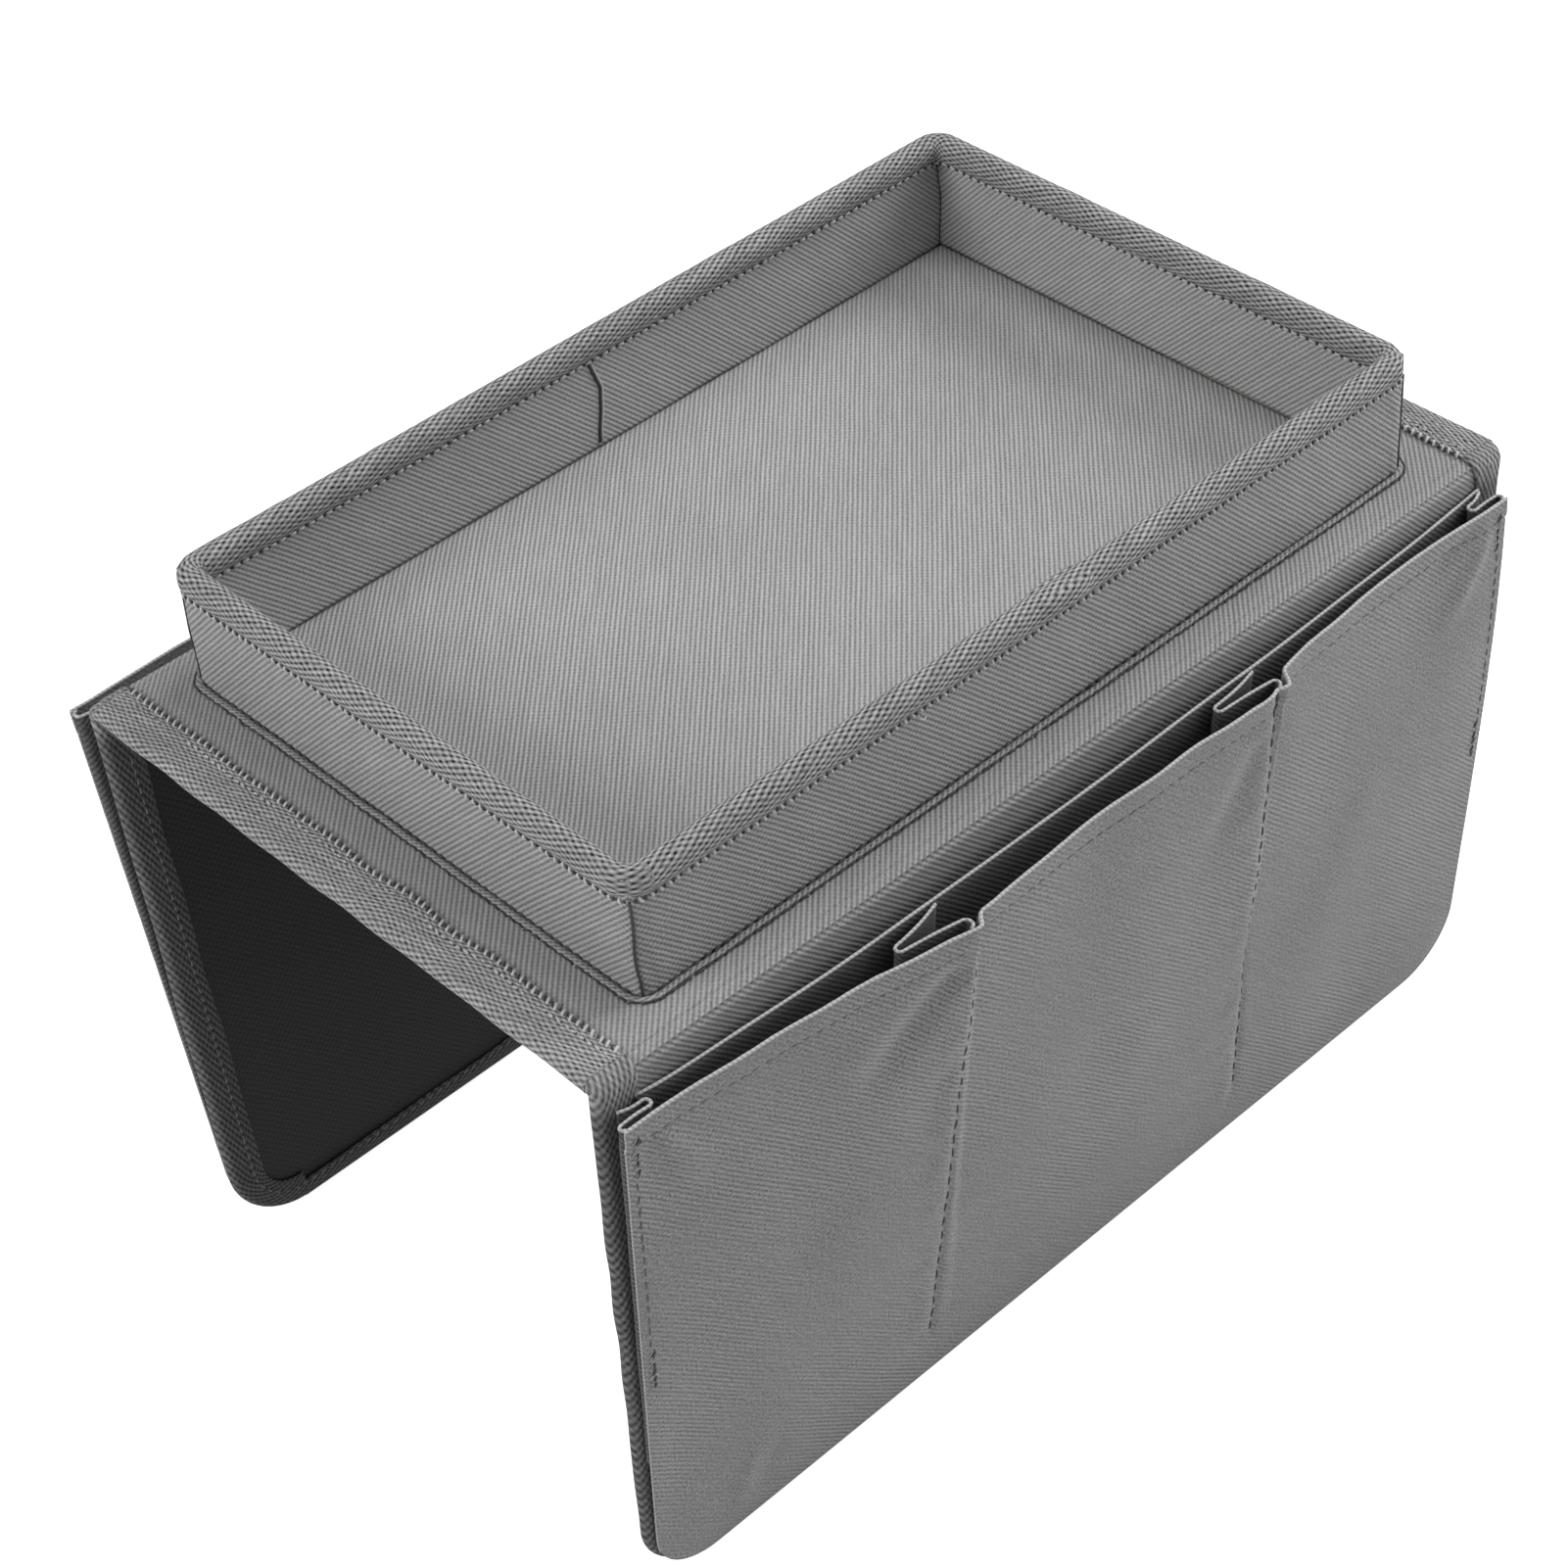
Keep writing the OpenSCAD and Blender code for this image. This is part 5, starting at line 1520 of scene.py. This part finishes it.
# %% [markdown]
# ## Seams of the tray
# At each corner of the tray two walls are sewn together, which leaves a dark line
# that wanders up the corner. The inner cloth has one more joint, in the rear
# wall: its two ends meet there, with a thin pale edge beside a dark slit.

# %% Corner seams and the joint of the inner cloth
def corner_seam(sx, sy, inset, low, high, lift):
    """The line in which two neighbouring walls meet, as wall_grid places it."""
    z = np.linspace(low, high, 24)
    wander = ripple(z, 0 * z + 40 * sx + 9 * sy, 17, 16, 0.9)
    x = sx * (TRAY_L / 2 - inset + lift) - sy * wander * 0.7
    y = sy * (TRAY_W / 2 - inset + lift) + sx * wander * 0.7
    return np.stack([x, y, z], -1)


seams = []
for sx in (-1, 1):
    for sy in (-1, 1):
        out = np.array([sx, sy, 0]) / math.sqrt(2)
        seams.append(yarn(corner_seam(sx, sy, 0.9, STACK_T + 1.2, RIM_FOOT_Z, 0.05), out, 0.36, 141))
        seams.append(yarn(corner_seam(sx, sy, WALL_T - 0.2, FLOOR_TOP_Z, RIM_FOOT_Z, 0.05), -out, 0.3, 142))
joint_z = np.array([35.0, 30, 24.3, 17, 10.4, 6.8])
joint_x = np.array([-2.1, -0.6, 1.3, 0.6, -0.6, -0.9])
joint_y = TRAY_W / 2 - WALL_T - 0.1
slit = np.stack([joint_x, np.full(6, joint_y), joint_z], -1)
seams.append(yarn(slit, (0, -1, 0), 0.42, 143))
yarn_piece("tray_seam_lines", seams, DARK_THREAD_AND_SHADE, "top")
pale_edge = [yarn(slit + (0.85, -0.1, 0), (0, -1, 0), 0.32, 144)]
loose_end = np.array([[-46.5, -88.3, 33.9], [-46.2, -88.8, 32.6], [-45.0, -88.9, 31.7], [-44.0, -88.5, 31.9]])
pale_edge.append(yarn(loose_end, (0, -1, 0), 0.24, 145))
yarn_piece("tray_pale_ends", pale_edge, LIGHT_THREAD, "top")

# %% [markdown]
# ## Light and background
# Product photographs are lit softly from above and a little from the left, on
# white paper. A plain pale world gives the even part, and one large lamp gives
# the direction. The camera sees the world and the floor as white, and the floor
# keeps the shadow of the object.

# %% Light, world and floor
WORLD_STRENGTH = 0.2
FLOOR_Z = -192.2


def seen_directly(tree):
    """1 for rays from the camera and for mirror and glass rays, otherwise 0."""
    rays = node(tree, "ShaderNodeLightPath").outputs
    direct = sum_up(tree, "ADD", rays["Is Camera Ray"], rays["Is Glossy Ray"])
    return node(tree, "ShaderNodeMath", {0: direct, 1: rays["Is Transmission Ray"]},
                operation="ADD", use_clamp=True).outputs[0]


world = bpy.data.worlds.new("studio")
world.use_nodes = True
world.node_tree.nodes.clear()
sky = world.node_tree
strength = node(sky, "ShaderNodeMapRange",
                {0: seen_directly(sky), 1: 0, 2: 1, 3: WORLD_STRENGTH, 4: 1}).outputs[0]
glow = node(sky, "ShaderNodeBackground", {"Color": grey(1), "Strength": strength})
node(sky, "ShaderNodeOutputWorld", {"Surface": glow.outputs[0]})
bpy.context.scene.world = world
bpy.context.scene.view_settings.view_transform = "Standard"

floor_material = bpy.data.materials.new("white_paper")
floor_material.use_nodes = True
paper = floor_material.node_tree
paper.nodes.clear()
matt = node(paper, "ShaderNodeBsdfDiffuse", {"Color": grey(0.82)})
lift = node(paper, "ShaderNodeEmission", {"Color": grey(1), "Strength": sum_up(paper, "MULTIPLY", seen_directly(paper), 0.9)})
both = node(paper, "ShaderNodeAddShader", {0: matt.outputs[0], 1: lift.outputs[0]})
node(paper, "ShaderNodeOutputMaterial", {"Surface": both.outputs[0]})

floor_mesh = bpy.data.meshes.new("paper_floor")
reach = 6.0
floor_mesh.from_pydata([(-reach, -reach, FLOOR_Z * MM), (reach, -reach, FLOOR_Z * MM),
                        (reach, reach, FLOOR_Z * MM), (-reach, reach, FLOOR_Z * MM)], [], [(0, 1, 2, 3)])
floor_mesh.materials.append(floor_material)
paper_floor = bpy.data.objects.new("paper_floor", floor_mesh)
bpy.context.scene.collection.objects.link(paper_floor)


def soft_lamp(name, place, watts, size):
    """A square lamp at that place, in metres, that faces the object."""
    lamp = bpy.data.lights.new(name, "AREA")
    lamp.energy, lamp.size = watts, size
    holder = bpy.data.objects.new(name, lamp)
    holder.matrix_world = (Matrix.Translation(Vector(place))
                           @ (-Vector(place)).to_track_quat("-Z", "Y").to_matrix().to_4x4())
    holder.visible_camera = False
    bpy.context.scene.collection.objects.link(holder)
    return holder


# Place and size in metres, and watts
LAMPS = {"top_lamp": ((0.35, -0.05, 1.45), 5.0, 0.5),
         "left_lamp": ((-1.4, 0.3, 0.9), 15.0, 0.8),
         "right_lamp": ((1.3, -0.3, 0.9), 14.0, 0.8),
         "fill_lamp": ((0.7, -1.3, 0.7), 4.0, 0.8),
         "front_lamp": ((0.68, -0.42, -0.12), 0.6, 0.3)}
for name, (place, watts, size) in LAMPS.items():
    soft_lamp(name, place, watts, size)
